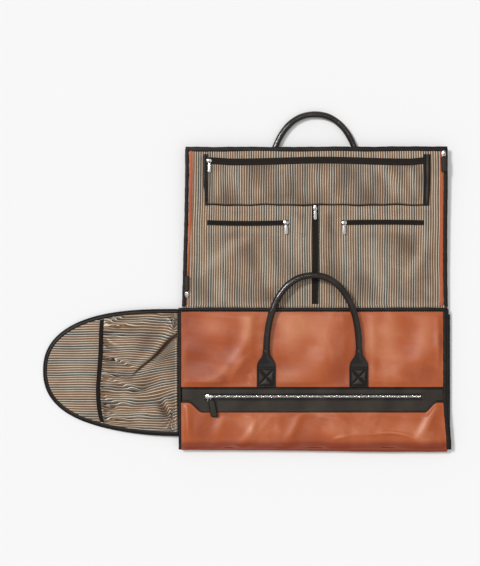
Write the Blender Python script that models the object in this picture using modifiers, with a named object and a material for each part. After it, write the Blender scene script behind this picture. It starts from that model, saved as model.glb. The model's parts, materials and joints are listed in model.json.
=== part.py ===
"""Convertible garment duffel, laid open on the floor.

The wall of the bag is one long strip across X: front panel, bottom and back panel. The bottom lies
flat, the front panel is folded over it with its outer face up, and the back panel lies open behind it
with its lining up. The left end panel lies open beside the bottom, and the right one is folded under it.
Bag coordinates have their origin on the floor under the middle of the bottom: +X to the bag's right,
+Y towards the back panel, +Z up. The whole model then hangs on one empty that puts the world's origin
under the middle of everything.
"""
import math

import bmesh
import bpy
from mathutils import Vector

# ---- driving dimensions, in metres ------------------------------------------------------------------
BAG_WIDTH = 0.559             # back panel and bottom, across the bindings
FRONT_OVERHANG = 0.0045       # the front panel's bindings stand this far past the back panel's
BOTTOM_DEPTH = 0.270
BACK_LENGTH = 0.338           # back panel, hinge to top edge
FOLD_OFFSET = 0.030           # how far past the bottom's edge the front panel folds over
FRONT_TOP_GAP = 0.002         # between the folded front panel's top edge and the back hinge line
END_LENGTH = 0.287            # end panel, hinge to the tip of the D
END_MARGIN = 0.004            # between the end panel's hinge corners and the bottom's corners
LEFT_HINGE_OFFSET = 0.0095    # from the bottom's side edge to the left end panel's hinge line
RIGHT_HINGE_OFFSET = 0.0125   # the same on the right, where the panel folds under the bottom

FIT = 0.0003                  # gap between pieces that touch
HINGE_GAP = 0.0008            # gap between a fold line and the sheets on either side

LEATHER = 0.0018              # outer skin
FRONT_LEATHER = 0.0020
END_LEATHER = 0.0024          # end panel skin with its stiff backing
LINING = 0.0012
BOARD = 0.0024                # stiff board in the bottom
POCKET_BAG = 0.0010           # bag of the zipped front pocket
BASE_CLEARANCE = 0.0011       # between the folded right end and the bottom
FRONT_CLEARANCE = 0.0004      # between the bottom's lining and the folded front panel

BINDING_WIDTH = 0.0085        # straight edge bindings
BINDING_PROUD = 0.0005        # how far a binding stands above the sheets that it holds
BINDING_SOFTEN = 0.0012
END_BINDING_WIDTH = 0.0065
END_CHAIN_WIDTH = 0.0030      # zip chain on the curved edge of an end panel
END_CHAIN_THICKNESS = 0.0025
END_CURVE_X = 2.8             # the D's curve is a superellipse with these two powers
END_CURVE_Y = 2.3
END_ARC_STEPS = 30

FACING_WIDTH = 0.0075         # tan strip between the side binding and the lining
TOP_POCKET_MARGIN = 0.0515    # from the bag's side edge to the side of the pocket's pouch
TOP_POCKET_DROP = 0.030       # from the back panel's top edge to the pocket's zip
TOP_POCKET_DEPTH = 0.0855     # from the zip to the pocket's lower seam
TOP_ZIP_WIDTH = 0.014
GUSSET_WIDTH = 0.012
GUSSET_RISE = 0.0027
POUCH_THICKNESS = 0.0020

ZIP_WIDTH = 0.0105            # black zips in the lining
ZIP_THICKNESS = 0.0010
SIDE_ZIP_INNER = 0.056        # inner end of the left and right pocket zips, from the middle
SIDE_ZIP_MARGIN = 0.0495      # from the bag's side edge to these zips' outer ends
SIDE_ZIP_DROP = 0.160         # from the back panel's top edge to these zips
GARMENT_ZIP_WIDTH = 0.014
GARMENT_ZIP_START = 0.012     # from the back hinge

BAND_DEPTH = 0.053            # dark band across the front panel, just below the handle patches
BAND_END_DEPTH = 0.032        # the band is shallower at its two ends
BAND_END_LENGTH = 0.012       # from the side binding to the start of the S-shaped step
BAND_STEP_LENGTH = 0.030      # length of the S-shaped step
FRONT_ZIP_MARGIN = 0.056      # from the front panel's side edge to the zip's end
FRONT_ZIP_SLOT = 0.0084
FRONT_ZIP_DROP = 0.0195       # from the band's upper edge to the zip
FRONT_TEETH_WIDTH = 0.0040
FRONT_TEETH_THICKNESS = 0.0012
FRONT_BAG_DEPTH = 0.085

HANDLE_RADIUS = 0.007
HANDLE_SPAN = 0.195           # between the middles of a handle's two legs
HANDLE_REACH = 0.169          # from a handle's hinge line to the middle of its bow
HANDLE_CURVE = 2.2            # power of the handle's superellipse
HANDLE_ROOT = 0.008           # from the hinge line to where the tube has its full thickness
HANDLE_TIP = 0.0006           # from the hinge line to the tapered end of the tube
HANDLE_TIP_SHARE = 0.45       # thickness of the tapered end, as a share of the tube's
FRONT_HANDLE_SHIFT = -0.0055  # the front handle sits a little to the left of the panel's middle
HANDLE_LIFT = math.radians(3.0)  # the front handle's bow rises off the panel
PATCH_WIDTH = 0.040
PATCH_HEIGHT = 0.042
PATCH_THICKNESS = 0.0024
PATCH_FROM_TOP = 0.125        # from a panel's top edge to the top of its patches
TONGUE_LENGTH = 0.025         # tapered leather between patch and tube
TONGUE_TIP_WIDTH = 0.018
TONGUE_THICKNESS = 0.0040
TONGUE_ROOT = 0.0032          # from the tongue's bend line to its rigid end

SHOE_POCKET_START = 0.014     # from the end panel's hinge to the pocket's closed edge
SHOE_POCKET_MOUTH = 0.165     # from the hinge to the pocket's elastic mouth
SHOE_POCKET_LOW = 0.003       # height of the pocket at its closed edge
SHOE_POCKET_HIGH = 0.014      # height at its mouth
SHOE_POCKET_WALL = 0.0014
SHOE_POCKET_MARGIN = 0.003    # between the pocket's sides and the edge binding
BAND_ELASTIC_WIDTH = 0.008
BAND_ELASTIC_WALL = 0.0024

SLIDER_LENGTH = 0.012
SLIDER_WIDTH = 0.009
SLIDER_BLOCK = 0.0024
LUG_LENGTH = 0.0052
LUG_WIDTH = 0.0024
LUG_HEIGHT = 0.0034
EYE_LENGTH = 0.0026
EYE_HEIGHT = 0.0022
EYE_CENTRE = 0.0013           # above the slider's block
PULL_THICKNESS = 0.0012
PULL_SLOT_CLEARANCE = 0.0005
PULL_ARM = 0.0016
PULL_SLOT_END = 0.0048
METAL_PULL = (0.007, 0.025)   # width and length of the small metal pulls
FRONT_PULL = (0.015, 0.043)   # leather tab of the front pocket
SIDE_PULL = (0.013, 0.040)    # leather tabs of the side zips
SIDE_SLIDER_INSET = 0.009     # from the back panel's side edge to the side slider's middle
SIDE_SLIDER_LOW = 0.026       # left side slider, from the back hinge
SIDE_SLIDER_HIGH = 0.014      # right side slider, from the back panel's top edge

# ---- levels and places that follow from them --------------------------------------------------------
HALF_WIDTH = BAG_WIDTH / 2
HALF_FRONT = HALF_WIDTH + FRONT_OVERHANG
HALF_DEPTH = BOTTOM_DEPTH / 2
LEFT_HINGE_X = HALF_WIDTH + LEFT_HINGE_OFFSET
RIGHT_HINGE_X = HALF_WIDTH + RIGHT_HINGE_OFFSET
END_WIDTH = BOTTOM_DEPTH - 2 * END_MARGIN
FRONT_FOLDED_LENGTH = BOTTOM_DEPTH + FOLD_OFFSET - FRONT_TOP_GAP
END_SHEETS = END_LEATHER + FIT + LINING
END_THICKNESS = END_SHEETS + 2 * BINDING_PROUD
BASE_UNDER = END_THICKNESS + BASE_CLEARANCE
BASE_BOARD_LEVEL = BASE_UNDER + LEATHER + FIT
BASE_LINING_LEVEL = BASE_BOARD_LEVEL + BOARD + FIT
BASE_TOP = BASE_LINING_LEVEL + LINING
FOLD_Y = -HALF_DEPTH - FOLD_OFFSET
FRONT_TOP_Y = FOLD_Y + FRONT_FOLDED_LENGTH
FRONT_UNDER = BASE_TOP + FRONT_CLEARANCE
FRONT_STACK = LINING + FIT + POCKET_BAG + FIT + FRONT_LEATHER
FRONT_SKIN_LEVEL = FRONT_UNDER + BINDING_PROUD + FRONT_STACK - FRONT_LEATHER
FRONT_FACE = FRONT_SKIN_LEVEL + FRONT_LEATHER
FOLD_LEVEL = BASE_TOP + FRONT_CLEARANCE / 2
BACK_STACK = LEATHER + FIT + LINING
HANDLE_FROM_TOP = PATCH_FROM_TOP - TONGUE_LENGTH
BACK_HANDLE_Y = BACK_LENGTH - HANDLE_FROM_TOP
BACK_TILT = math.atan((2 * HANDLE_RADIUS + FIT - BASE_TOP + BACK_STACK) / (BACK_HANDLE_Y + HANDLE_ROOT))
LEFT_TILT = math.asin((BASE_TOP - END_SHEETS - BINDING_PROUD) / END_LENGTH)
RIGHT_HINGE_LEVEL = (BASE_TOP + BINDING_PROUD) / 2
RIGHT_LINING_LEVEL = BASE_TOP - RIGHT_HINGE_LEVEL
TONGUE_HINGE_LEVEL = FRONT_FACE + FIT + PATCH_THICKNESS + FIT
TONGUE_HINGE_Y = FRONT_TOP_Y - PATCH_FROM_TOP
FRONT_HANDLE_Y = FRONT_TOP_Y - HANDLE_FROM_TOP
FRONT_HANDLE_LEVEL = FRONT_FACE + BINDING_PROUD + FIT + HANDLE_RADIUS
BAND_TOP = FRONT_FOLDED_LENGTH - PATCH_FROM_TOP - PATCH_HEIGHT
FRONT_ZIP_Y = BAND_TOP - FRONT_ZIP_DROP
FRONT_ZIP_HALF = HALF_FRONT - FRONT_ZIP_MARGIN
TOP_POCKET_HALF = HALF_WIDTH - TOP_POCKET_MARGIN
POUCH_LOW_Y = BACK_LENGTH - TOP_POCKET_DROP - TOP_ZIP_WIDTH / 2 - TOP_POCKET_DEPTH
AXIS_HEIGHT = SLIDER_BLOCK + EYE_CENTRE

# ---- colours ----------------------------------------------------------------------------------------
TAN_LEATHER = ((0.43, 0.10, 0.03), 0.5, 0.0)
DARK_LEATHER = ((0.022, 0.017, 0.014), 0.45, 0.0)
STRIPED_CLOTH = ((0.30, 0.22, 0.155), 0.85, 0.0)
ELASTIC = ((0.020, 0.016, 0.014), 0.8, 0.0)
ZIP_CLOTH = ((0.015, 0.013, 0.012), 0.75, 0.0)
CHROME = ((0.75, 0.75, 0.77), 0.18, 1.0)
BOARD_FIBRE = ((0.10, 0.085, 0.07), 0.8, 0.0)

PARTS = "garment_duffel"
HELPERS = "garment_duffel_helpers"


# ---- scene and small tools --------------------------------------------------------------------------
def clear_scene():
    """Remove every object and make the two collections, one for parts and one for helpers."""
    for obj in list(bpy.data.objects):
        bpy.data.objects.remove(obj, do_unlink=True)
    for name in (PARTS, HELPERS):
        collection = bpy.data.collections.new(name)
        bpy.context.scene.collection.children.link(collection)


def empty(name, location, rotation=(0.0, 0.0, 0.0), parent=None):
    """An empty that carries a body and stands on its joint's axis."""
    obj = bpy.data.objects.new(name, None)
    obj.empty_display_size = 0.03
    obj.location = location
    obj.rotation_euler = rotation
    obj.parent = parent
    bpy.data.collections[HELPERS].objects.link(obj)
    return obj


def finish(obj, parent, look):
    """Put a part in its collection, under its body's empty, with a material of its own."""
    colour, roughness, metallic = look
    material = bpy.data.materials.new(obj.name)
    material.use_nodes = True
    shader = material.node_tree.nodes["Principled BSDF"]
    shader.inputs["Base Color"].default_value = (*colour, 1.0)
    shader.inputs["Roughness"].default_value = roughness
    shader.inputs["Metallic"].default_value = metallic
    bpy.data.collections[PARTS].objects.link(obj)
    obj.parent = parent
    obj.data.materials.clear()
    obj.data.materials.append(material)
    return obj


def soften_edges(obj, width):
    """Round every edge of a part with one bevel."""
    bevel = obj.modifiers.new("Soft edges", "BEVEL")
    bevel.width = width
    bevel.segments = 1
    bevel.limit_method = "ANGLE"


def box_mesh(name, size):
    """A box mesh of the given size about its own middle."""
    mesh = bpy.data.meshes.new(name)
    shape = bmesh.new()
    bmesh.ops.create_cube(shape, size=1.0)
    bmesh.ops.scale(shape, vec=size, verts=shape.verts)
    shape.to_mesh(mesh)
    shape.free()
    return mesh


def box(name, parent, look, x, y, z, soften=0.0):
    """A box between the given low and high x, y and z."""
    size = Vector((x[1] - x[0], y[1] - y[0], z[1] - z[0]))
    obj = bpy.data.objects.new(name, box_mesh(name, size))
    obj.location = ((x[0] + x[1]) / 2, (y[0] + y[1]) / 2, (z[0] + z[1]) / 2)
    if soften:
        soften_edges(obj, soften)
    return finish(obj, parent, look)


def flat_curve(name, outlines, thickness):
    """A filled flat curve; the first outline is the edge and the others are holes."""
    curve = bpy.data.curves.new(name, "CURVE")
    curve.dimensions = "2D"
    curve.fill_mode = "BOTH"
    curve.extrude = thickness / 2
    for outline in outlines:
        spline = curve.splines.new("POLY")
        spline.points.add(len(outline) - 1)
        for point, (x, y) in zip(spline.points, outline):
            point.co = (x, y, 0.0, 1.0)
        spline.use_cyclic_u = True
    return curve


def plate(name, parent, look, outlines, low, thickness):
    """A flat piece of any outline that stands on the level low."""
    obj = bpy.data.objects.new(name, flat_curve(name, outlines, thickness))
    obj.location = (0.0, 0.0, low + thickness / 2)
    return finish(obj, parent, look)


def smoothstep(t):
    """An S-shaped rise from 0 to 1."""
    return t * t * (3.0 - 2.0 * t)


# ---- bottom -----------------------------------------------------------------------------------------
def build_bottom(root):
    """Outer skin and lining run on to the fold of the front panel; the board stops at the bottom's edge."""
    half = HALF_WIDTH
    y = (FOLD_Y + HINGE_GAP, HALF_DEPTH - HINGE_GAP)
    box("base_outer", root, TAN_LEATHER, (-half, half), y, (BASE_UNDER, BASE_UNDER + LEATHER))
    board_half = half - BINDING_WIDTH
    board_y = (-HALF_DEPTH + HINGE_GAP, HALF_DEPTH - HINGE_GAP)
    board_z = (BASE_BOARD_LEVEL, BASE_BOARD_LEVEL + BOARD)
    box("base_board", root, BOARD_FIBRE, (-board_half, board_half), board_y, board_z)
    box("base_lining", root, STRIPED_CLOTH, (-half, half), y, (BASE_LINING_LEVEL, BASE_TOP))


# ---- front panel ------------------------------------------------------------------------------------
def band_lower_edge(x_left, x_right):
    """The band's lower edge from right to left: shallow ends, an S-shaped step, a deep middle."""
    steps = 8
    points = [(x_right, -BAND_END_DEPTH)]
    for i in range(steps + 1):
        t = i / steps
        x = x_right - BAND_END_LENGTH - t * BAND_STEP_LENGTH
        points.append((x, -BAND_END_DEPTH - (BAND_DEPTH - BAND_END_DEPTH) * smoothstep(t)))
    for i in range(steps + 1):
        t = i / steps
        x = x_left + BAND_END_LENGTH + (1 - t) * BAND_STEP_LENGTH
        points.append((x, -BAND_DEPTH + (BAND_DEPTH - BAND_END_DEPTH) * smoothstep(t)))
    points.append((x_left, -BAND_END_DEPTH))
    return points


def build_front_panel(body):
    """Tan skin in two pieces with the dark zip band between, a lining, and bindings on three edges."""
    low = FRONT_UNDER - FOLD_LEVEL
    skin = FRONT_SKIN_LEVEL - FOLD_LEVEL
    top = FRONT_FOLDED_LENGTH
    inner = HALF_FRONT - BINDING_WIDTH - FIT
    lining_z = (low + BINDING_PROUD, low + BINDING_PROUD + LINING)
    inner_top = top - BINDING_WIDTH - FIT
    box("front_lining", body, STRIPED_CLOTH, (-inner, inner), (HINGE_GAP, inner_top), lining_z)

    skin_z = (skin, skin + FRONT_LEATHER)
    box("front_upper", body, TAN_LEATHER, (-inner, inner), (BAND_TOP + FIT, inner_top), skin_z)
    edge = [(x, y + BAND_TOP) for x, y in band_lower_edge(-inner, inner)]
    zip_y = FRONT_ZIP_Y
    half_zip = FRONT_ZIP_HALF
    half_slot = FRONT_ZIP_SLOT / 2
    slot = [(-half_zip, zip_y - half_slot), (half_zip, zip_y - half_slot),
            (half_zip, zip_y + half_slot), (-half_zip, zip_y + half_slot)]
    band = [(-inner, BAND_TOP), (inner, BAND_TOP)] + edge
    plate("front_band", body, DARK_LEATHER, [band, slot], skin, FRONT_LEATHER)
    lower = [(x, y - FIT) for x, y in edge] + [(-inner, HINGE_GAP), (inner, HINGE_GAP)]
    plate("front_lower", body, TAN_LEATHER, [lower], skin, FRONT_LEATHER)

    bag_z = (lining_z[1] + FIT, lining_z[1] + FIT + POCKET_BAG)
    bag_y = (zip_y + half_slot - FRONT_BAG_DEPTH, zip_y + half_slot)
    box("front_pocket_bag", body, STRIPED_CLOTH, (-half_zip, half_zip), bag_y, bag_z)
    tape_half = half_slot - FIT
    tape_z = (skin + FIT, skin + FRONT_LEATHER / 2 + FIT)
    tape_x = (-half_zip + FIT, half_zip - FIT)
    box("front_zip_tape", body, ZIP_CLOTH, tape_x, (zip_y - tape_half, zip_y + tape_half), tape_z)
    teeth_half = FRONT_TEETH_WIDTH / 2
    teeth_z = (tape_z[1] + FIT, tape_z[1] + FIT + FRONT_TEETH_THICKNESS)
    teeth_y = (zip_y - teeth_half, zip_y + teeth_half)
    box("front_zip_teeth", body, CHROME, (-half_zip + 2 * FIT, half_zip - 2 * FIT), teeth_y, teeth_z)

    thick = (low, low + FRONT_STACK + 2 * BINDING_PROUD)
    box("front_top_binding", body, DARK_LEATHER, (-HALF_FRONT, HALF_FRONT),
        (top - BINDING_WIDTH, top), thick, BINDING_SOFTEN)
    for side, name in ((-1, "front_left_binding"), (1, "front_right_binding")):
        x = sorted((side * HALF_FRONT, side * (HALF_FRONT - BINDING_WIDTH)))
        box(name, body, DARK_LEATHER, x, (HINGE_GAP, inner_top), thick, BINDING_SOFTEN)
    patch_top = top - PATCH_FROM_TOP
    face = skin + FRONT_LEATHER + FIT
    for side, name in ((-1, "front_patch_left"), (1, "front_patch_right")):
        middle = FRONT_HANDLE_SHIFT + side * HANDLE_SPAN / 2
        box(name, body, DARK_LEATHER, (middle - PATCH_WIDTH / 2, middle + PATCH_WIDTH / 2),
            (patch_top - PATCH_HEIGHT + FIT, patch_top), (face, face + PATCH_THICKNESS))
    return teeth_z[1]


# ---- handles ----------------------------------------------------------------------------------------
def handle_points(steps):
    """Middle line of a handle and its thickness: a superellipse bow over two legs with tapered ends."""
    half = HANDLE_SPAN / 2
    points = [(-half, HANDLE_TIP, HANDLE_TIP_SHARE), (-half, HANDLE_ROOT, 1.0)]
    for i in range(1, steps):
        angle = math.pi * i / steps
        reach = abs(math.cos(angle)) ** (2 / HANDLE_CURVE)
        x = -math.copysign(half * reach, math.cos(angle))
        y = HANDLE_ROOT + (HANDLE_REACH - HANDLE_ROOT) * math.sin(angle) ** (2 / HANDLE_CURVE)
        points.append((x, y, 1.0))
    points += [(half, HANDLE_ROOT, 1.0), (half, HANDLE_TIP, HANDLE_TIP_SHARE)]
    return points


def build_handle(name, body):
    """A rolled leather tube that lies in its body's own XY plane."""
    curve = bpy.data.curves.new(name, "CURVE")
    curve.dimensions = "3D"
    curve.bevel_depth = HANDLE_RADIUS
    curve.bevel_resolution = 3
    curve.use_fill_caps = True
    points = handle_points(34)
    spline = curve.splines.new("POLY")
    spline.points.add(len(points) - 1)
    for point, (x, y, share) in zip(spline.points, points):
        point.co = (x, y, 0.0, 1.0)
        point.radius = share
    finish(bpy.data.objects.new(name, curve), body, DARK_LEATHER)


def tongue_outline(middle, start, end):
    """A leather tongue that narrows from the patch's width to a little more than the tube's."""
    wide, narrow = PATCH_WIDTH / 2, TONGUE_TIP_WIDTH / 2
    return [(middle - wide, start), (middle + wide, start), (middle + narrow, end), (middle - narrow, end)]


def build_front_tongues(body):
    """The two tongues that bend up with the front handle; they hang just under their bend line."""
    low = FRONT_FACE + BINDING_PROUD - TONGUE_HINGE_LEVEL
    for side, name in ((-1, "front_tongue_left"), (1, "front_tongue_right")):
        outline = tongue_outline(side * HANDLE_SPAN / 2, TONGUE_ROOT, TONGUE_LENGTH - HINGE_GAP)
        plate(name, body, DARK_LEATHER, [outline], low, TONGUE_THICKNESS)


# ---- back panel -------------------------------------------------------------------------------------
def build_back_panel(body):
    """Outer skin below, striped lining above with tan facings, bindings on three edges, and the pockets."""
    inner = HALF_WIDTH - BINDING_WIDTH - FIT
    top = BACK_LENGTH - BINDING_WIDTH - FIT
    under = -BACK_STACK
    box("back_outer", body, TAN_LEATHER, (-inner, inner), (HINGE_GAP, top), (under, under + LEATHER))
    cloth = inner - FACING_WIDTH
    box("back_lining", body, STRIPED_CLOTH, (-cloth, cloth), (HINGE_GAP, top), (-LINING, 0.0))
    thick = (under - BINDING_PROUD, BINDING_PROUD)
    for side, word in ((-1, "left"), (1, "right")):
        x = sorted((side * (cloth + FIT), side * inner))
        box(f"back_{word}_facing", body, TAN_LEATHER, x, (HINGE_GAP, top), (-LINING, 0.0))
        x = sorted((side * HALF_WIDTH, side * (HALF_WIDTH - BINDING_WIDTH)))
        box(f"back_{word}_binding", body, DARK_LEATHER, x, (HINGE_GAP, top), thick, BINDING_SOFTEN)
        middle = side * HANDLE_SPAN / 2
        patch_top = BACK_LENGTH - PATCH_FROM_TOP
        wide = PATCH_WIDTH / 2
        outline = [(middle - wide, patch_top - PATCH_HEIGHT), (middle + wide, patch_top - PATCH_HEIGHT)]
        outline += tongue_outline(middle, patch_top, patch_top + TONGUE_LENGTH)[1:]
        outline.append((middle - wide, patch_top))
        plate(f"back_patch_{word}", body, DARK_LEATHER, [outline],
              under - FIT - PATCH_THICKNESS, PATCH_THICKNESS)
    box("back_top_binding", body, DARK_LEATHER, (-HALF_WIDTH, HALF_WIDTH),
        (BACK_LENGTH - BINDING_WIDTH, BACK_LENGTH), thick, BINDING_SOFTEN)


def build_lining_pockets(body):
    """Top pocket, the zips of the left and right pockets, and the zip of the garment compartment."""
    half = TOP_POCKET_HALF
    zip_mid = BACK_LENGTH - TOP_POCKET_DROP
    zip_low, zip_high = zip_mid - TOP_ZIP_WIDTH / 2, zip_mid + TOP_ZIP_WIDTH / 2
    pouch_z = (FIT, FIT + POUCH_THICKNESS)
    box("top_pocket_front", body, STRIPED_CLOTH, (-half, half), (POUCH_LOW_Y, zip_low - FIT), pouch_z)
    box("top_pocket_zip_tape", body, ZIP_CLOTH, (-half, half), (zip_low, zip_high), pouch_z)
    for side, word in ((-1, "left"), (1, "right")):
        x = sorted((side * (half + FIT), side * (half + GUSSET_WIDTH)))
        box(f"top_pocket_{word}_gusset", body, DARK_LEATHER, x, (POUCH_LOW_Y, zip_high),
            (FIT, FIT + GUSSET_RISE))
        x = sorted((side * SIDE_ZIP_INNER, side * (HALF_WIDTH - SIDE_ZIP_MARGIN)))
        middle = BACK_LENGTH - SIDE_ZIP_DROP
        box(f"{word}_pocket_zip_tape", body, ZIP_CLOTH, x,
            (middle - ZIP_WIDTH / 2, middle + ZIP_WIDTH / 2), (FIT, FIT + ZIP_THICKNESS))
    box("garment_zip_tape", body, ZIP_CLOTH, (-GARMENT_ZIP_WIDTH / 2, GARMENT_ZIP_WIDTH / 2),
        (GARMENT_ZIP_START, POUCH_LOW_Y - FIT), (FIT, FIT + ZIP_THICKNESS))


# ---- end panels -------------------------------------------------------------------------------------
def end_arc(inset, start):
    """The D's curved edge, moved in by inset, from its right root round the tip to its left root."""
    length = END_LENGTH - inset - start
    half = END_WIDTH / 2 - inset
    points = []
    for i in range(END_ARC_STEPS + 1):
        angle = math.pi * (i / END_ARC_STEPS - 0.5)
        x = start + length * max(math.cos(angle), 0.0) ** (2 / END_CURVE_X)
        y = math.copysign(half * abs(math.sin(angle)) ** (2 / END_CURVE_Y), math.sin(angle))
        points.append((x, y))
    return points


def end_half_width(x):
    """Half the D's width at the distance x from its hinge, inside the binding."""
    inset = END_CHAIN_WIDTH + END_BINDING_WIDTH
    share = (x / (END_LENGTH - inset)) ** END_CURVE_X
    return (END_WIDTH / 2 - inset) * (1 - share) ** (1 / END_CURVE_Y)


def build_end_panel(side, body, lining_top):
    """Outer skin, lining, binding and zip chain of one D-shaped end panel."""
    start = HINGE_GAP
    skin_low = lining_top - END_SHEETS
    binding_inset = END_CHAIN_WIDTH
    sheet = end_arc(binding_inset + END_BINDING_WIDTH, start)
    plate(f"{side}_end_outer", body, TAN_LEATHER, [sheet], skin_low, END_LEATHER)
    plate(f"{side}_end_lining", body, STRIPED_CLOTH, [sheet], lining_top - LINING, LINING)
    outer = end_arc(binding_inset + FIT, start)
    inner = end_arc(binding_inset + END_BINDING_WIDTH - FIT, start)
    binding = outer + inner[::-1]
    plate(f"{side}_end_binding", body, DARK_LEATHER, [binding], skin_low - BINDING_PROUD, END_THICKNESS)
    chain = end_arc(0.0, start) + end_arc(binding_inset, start)[::-1]
    middle = (skin_low + lining_top) / 2
    plate(f"{side}_end_zip_chain", body, ZIP_CLOTH, [chain],
          middle - END_CHAIN_THICKNESS / 2, END_CHAIN_THICKNESS)


def arch_sheet(name, body, look, x_range, cells, wall):
    """An arched sheet over the lining: highest in the middle, down to the lining at both sides.

    Its height grows evenly from the pocket's closed edge to the mouth.
    """
    mesh = bpy.data.meshes.new(name)
    shape = bmesh.new()
    bmesh.ops.create_grid(shape, x_segments=cells[0], y_segments=cells[1], size=1.0)
    span = SHOE_POCKET_MOUTH - SHOE_POCKET_START
    for vert in shape.verts:
        x = x_range[0] + (x_range[1] - x_range[0]) * (vert.co.x + 1) / 2
        across = vert.co.y
        share = min((x - SHOE_POCKET_START) / span, 1.0)
        rise = SHOE_POCKET_LOW + (SHOE_POCKET_HIGH - SHOE_POCKET_LOW) * share
        half = end_half_width(x) - SHOE_POCKET_MARGIN
        height = rise * max(1 - across * across, 0.0) ** 0.6
        vert.co = (x, across * half, FIT + height)
    shape.to_mesh(mesh)
    shape.free()
    obj = bpy.data.objects.new(name, mesh)
    solid = obj.modifiers.new("Wall", "SOLIDIFY")
    solid.thickness = wall
    solid.offset = 1.0
    return finish(obj, body, look)


def build_shoe_pocket(body):
    """The gathered pocket on the left end panel and the elastic band round its mouth."""
    arch_sheet("shoe_pocket", body, STRIPED_CLOTH, (SHOE_POCKET_START, SHOE_POCKET_MOUTH - FIT),
               (8, 16), SHOE_POCKET_WALL)
    arch_sheet("shoe_pocket_band", body, ELASTIC,
               (SHOE_POCKET_MOUTH, SHOE_POCKET_MOUTH + BAND_ELASTIC_WIDTH), (1, 16), BAND_ELASTIC_WALL)


# ---- zip sliders and pulls --------------------------------------------------------------------------
def slider_mesh():
    """A slider: a block with a lug on top, and an eye through the lug for the pull's bar."""
    block = bpy.data.objects.new("slider_block", box_mesh("slider_block",
                                                          (SLIDER_WIDTH, SLIDER_LENGTH, SLIDER_BLOCK)))
    block.location = (0.0, 0.0, SLIDER_BLOCK / 2)
    sunk = SLIDER_BLOCK / 2
    long, eye = LUG_LENGTH / 2, EYE_LENGTH / 2
    outer = [(-long, -sunk), (long, -sunk), (long, LUG_HEIGHT), (-long, LUG_HEIGHT)]
    low, high = EYE_CENTRE - EYE_HEIGHT / 2, EYE_CENTRE + EYE_HEIGHT / 2
    hole = [(-eye, low), (eye, low), (eye, high), (-eye, high)]
    lug = flat_curve("slider_lug", [outer, hole], LUG_WIDTH)
    lug_curve = bpy.data.objects.new("slider_lug_outline", lug)
    lug_curve.rotation_euler = (math.pi / 2, 0.0, math.pi / 2)
    lug_curve.location = (0.0, 0.0, SLIDER_BLOCK)
    helpers = bpy.data.collections[HELPERS].objects
    helpers.link(block)
    helpers.link(lug_curve)
    bpy.context.view_layer.update()
    depsgraph = bpy.context.evaluated_depsgraph_get()
    lug_mesh = bpy.data.meshes.new_from_object(lug_curve.evaluated_get(depsgraph))
    shape = bmesh.new()
    shape.from_mesh(lug_mesh)
    bmesh.ops.remove_doubles(shape, verts=shape.verts, dist=1e-6)
    bmesh.ops.recalc_face_normals(shape, faces=shape.faces)
    shape.to_mesh(lug_mesh)
    shape.free()
    lug = bpy.data.objects.new("slider_lug", lug_mesh)
    lug.matrix_world = lug_curve.matrix_world.copy()
    helpers.link(lug)
    union = block.modifiers.new("Lug", "BOOLEAN")
    union.operation = "UNION"
    union.object = lug
    bpy.context.view_layer.update()
    depsgraph = bpy.context.evaluated_depsgraph_get()
    mesh = bpy.data.meshes.new_from_object(block.evaluated_get(depsgraph))
    mesh.transform(block.matrix_world)
    for obj in (block, lug_curve, lug):
        bpy.data.objects.remove(obj, do_unlink=True)
    return mesh


def pull_outlines(width, length):
    """A pull that points along -Y: a bar in the slider's eye, two arms round the lug, and a tab."""
    bar = PULL_THICKNESS / 2
    inner = LUG_WIDTH / 2 + PULL_SLOT_CLEARANCE
    ring = inner + PULL_ARM
    shoulder = PULL_SLOT_END + PULL_ARM
    half = width / 2
    corner = half * 0.4
    outer = [(ring, bar), (-ring, bar), (-ring, -shoulder), (-half, -shoulder - corner),
             (-half, corner - length), (corner - half, -length), (half - corner, -length),
             (half, corner - length), (half, -shoulder - corner), (ring, -shoulder)]
    slot = [(inner, -bar), (-inner, -bar), (-inner, -PULL_SLOT_END), (inner, -PULL_SLOT_END)]
    return [outer, slot]


def build_zip(name, panel, place, turn, mesh, pull_size, pull_look):
    """One slider standing on its zip at place, with its pull on the axis through the slider's eye."""
    slide = empty(f"{name}_slide", place, (0.0, 0.0, turn), panel)
    finish(bpy.data.objects.new(f"{name}_slider", mesh.copy()), slide, CHROME)
    hinge = empty(f"{name}_pull_hinge", (0.0, 0.0, AXIS_HEIGHT), (0.0, 0.0, 0.0), slide)
    curve = flat_curve(f"{name}_pull", pull_outlines(*pull_size), PULL_THICKNESS)
    finish(bpy.data.objects.new(f"{name}_pull", curve), hinge, pull_look)


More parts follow.
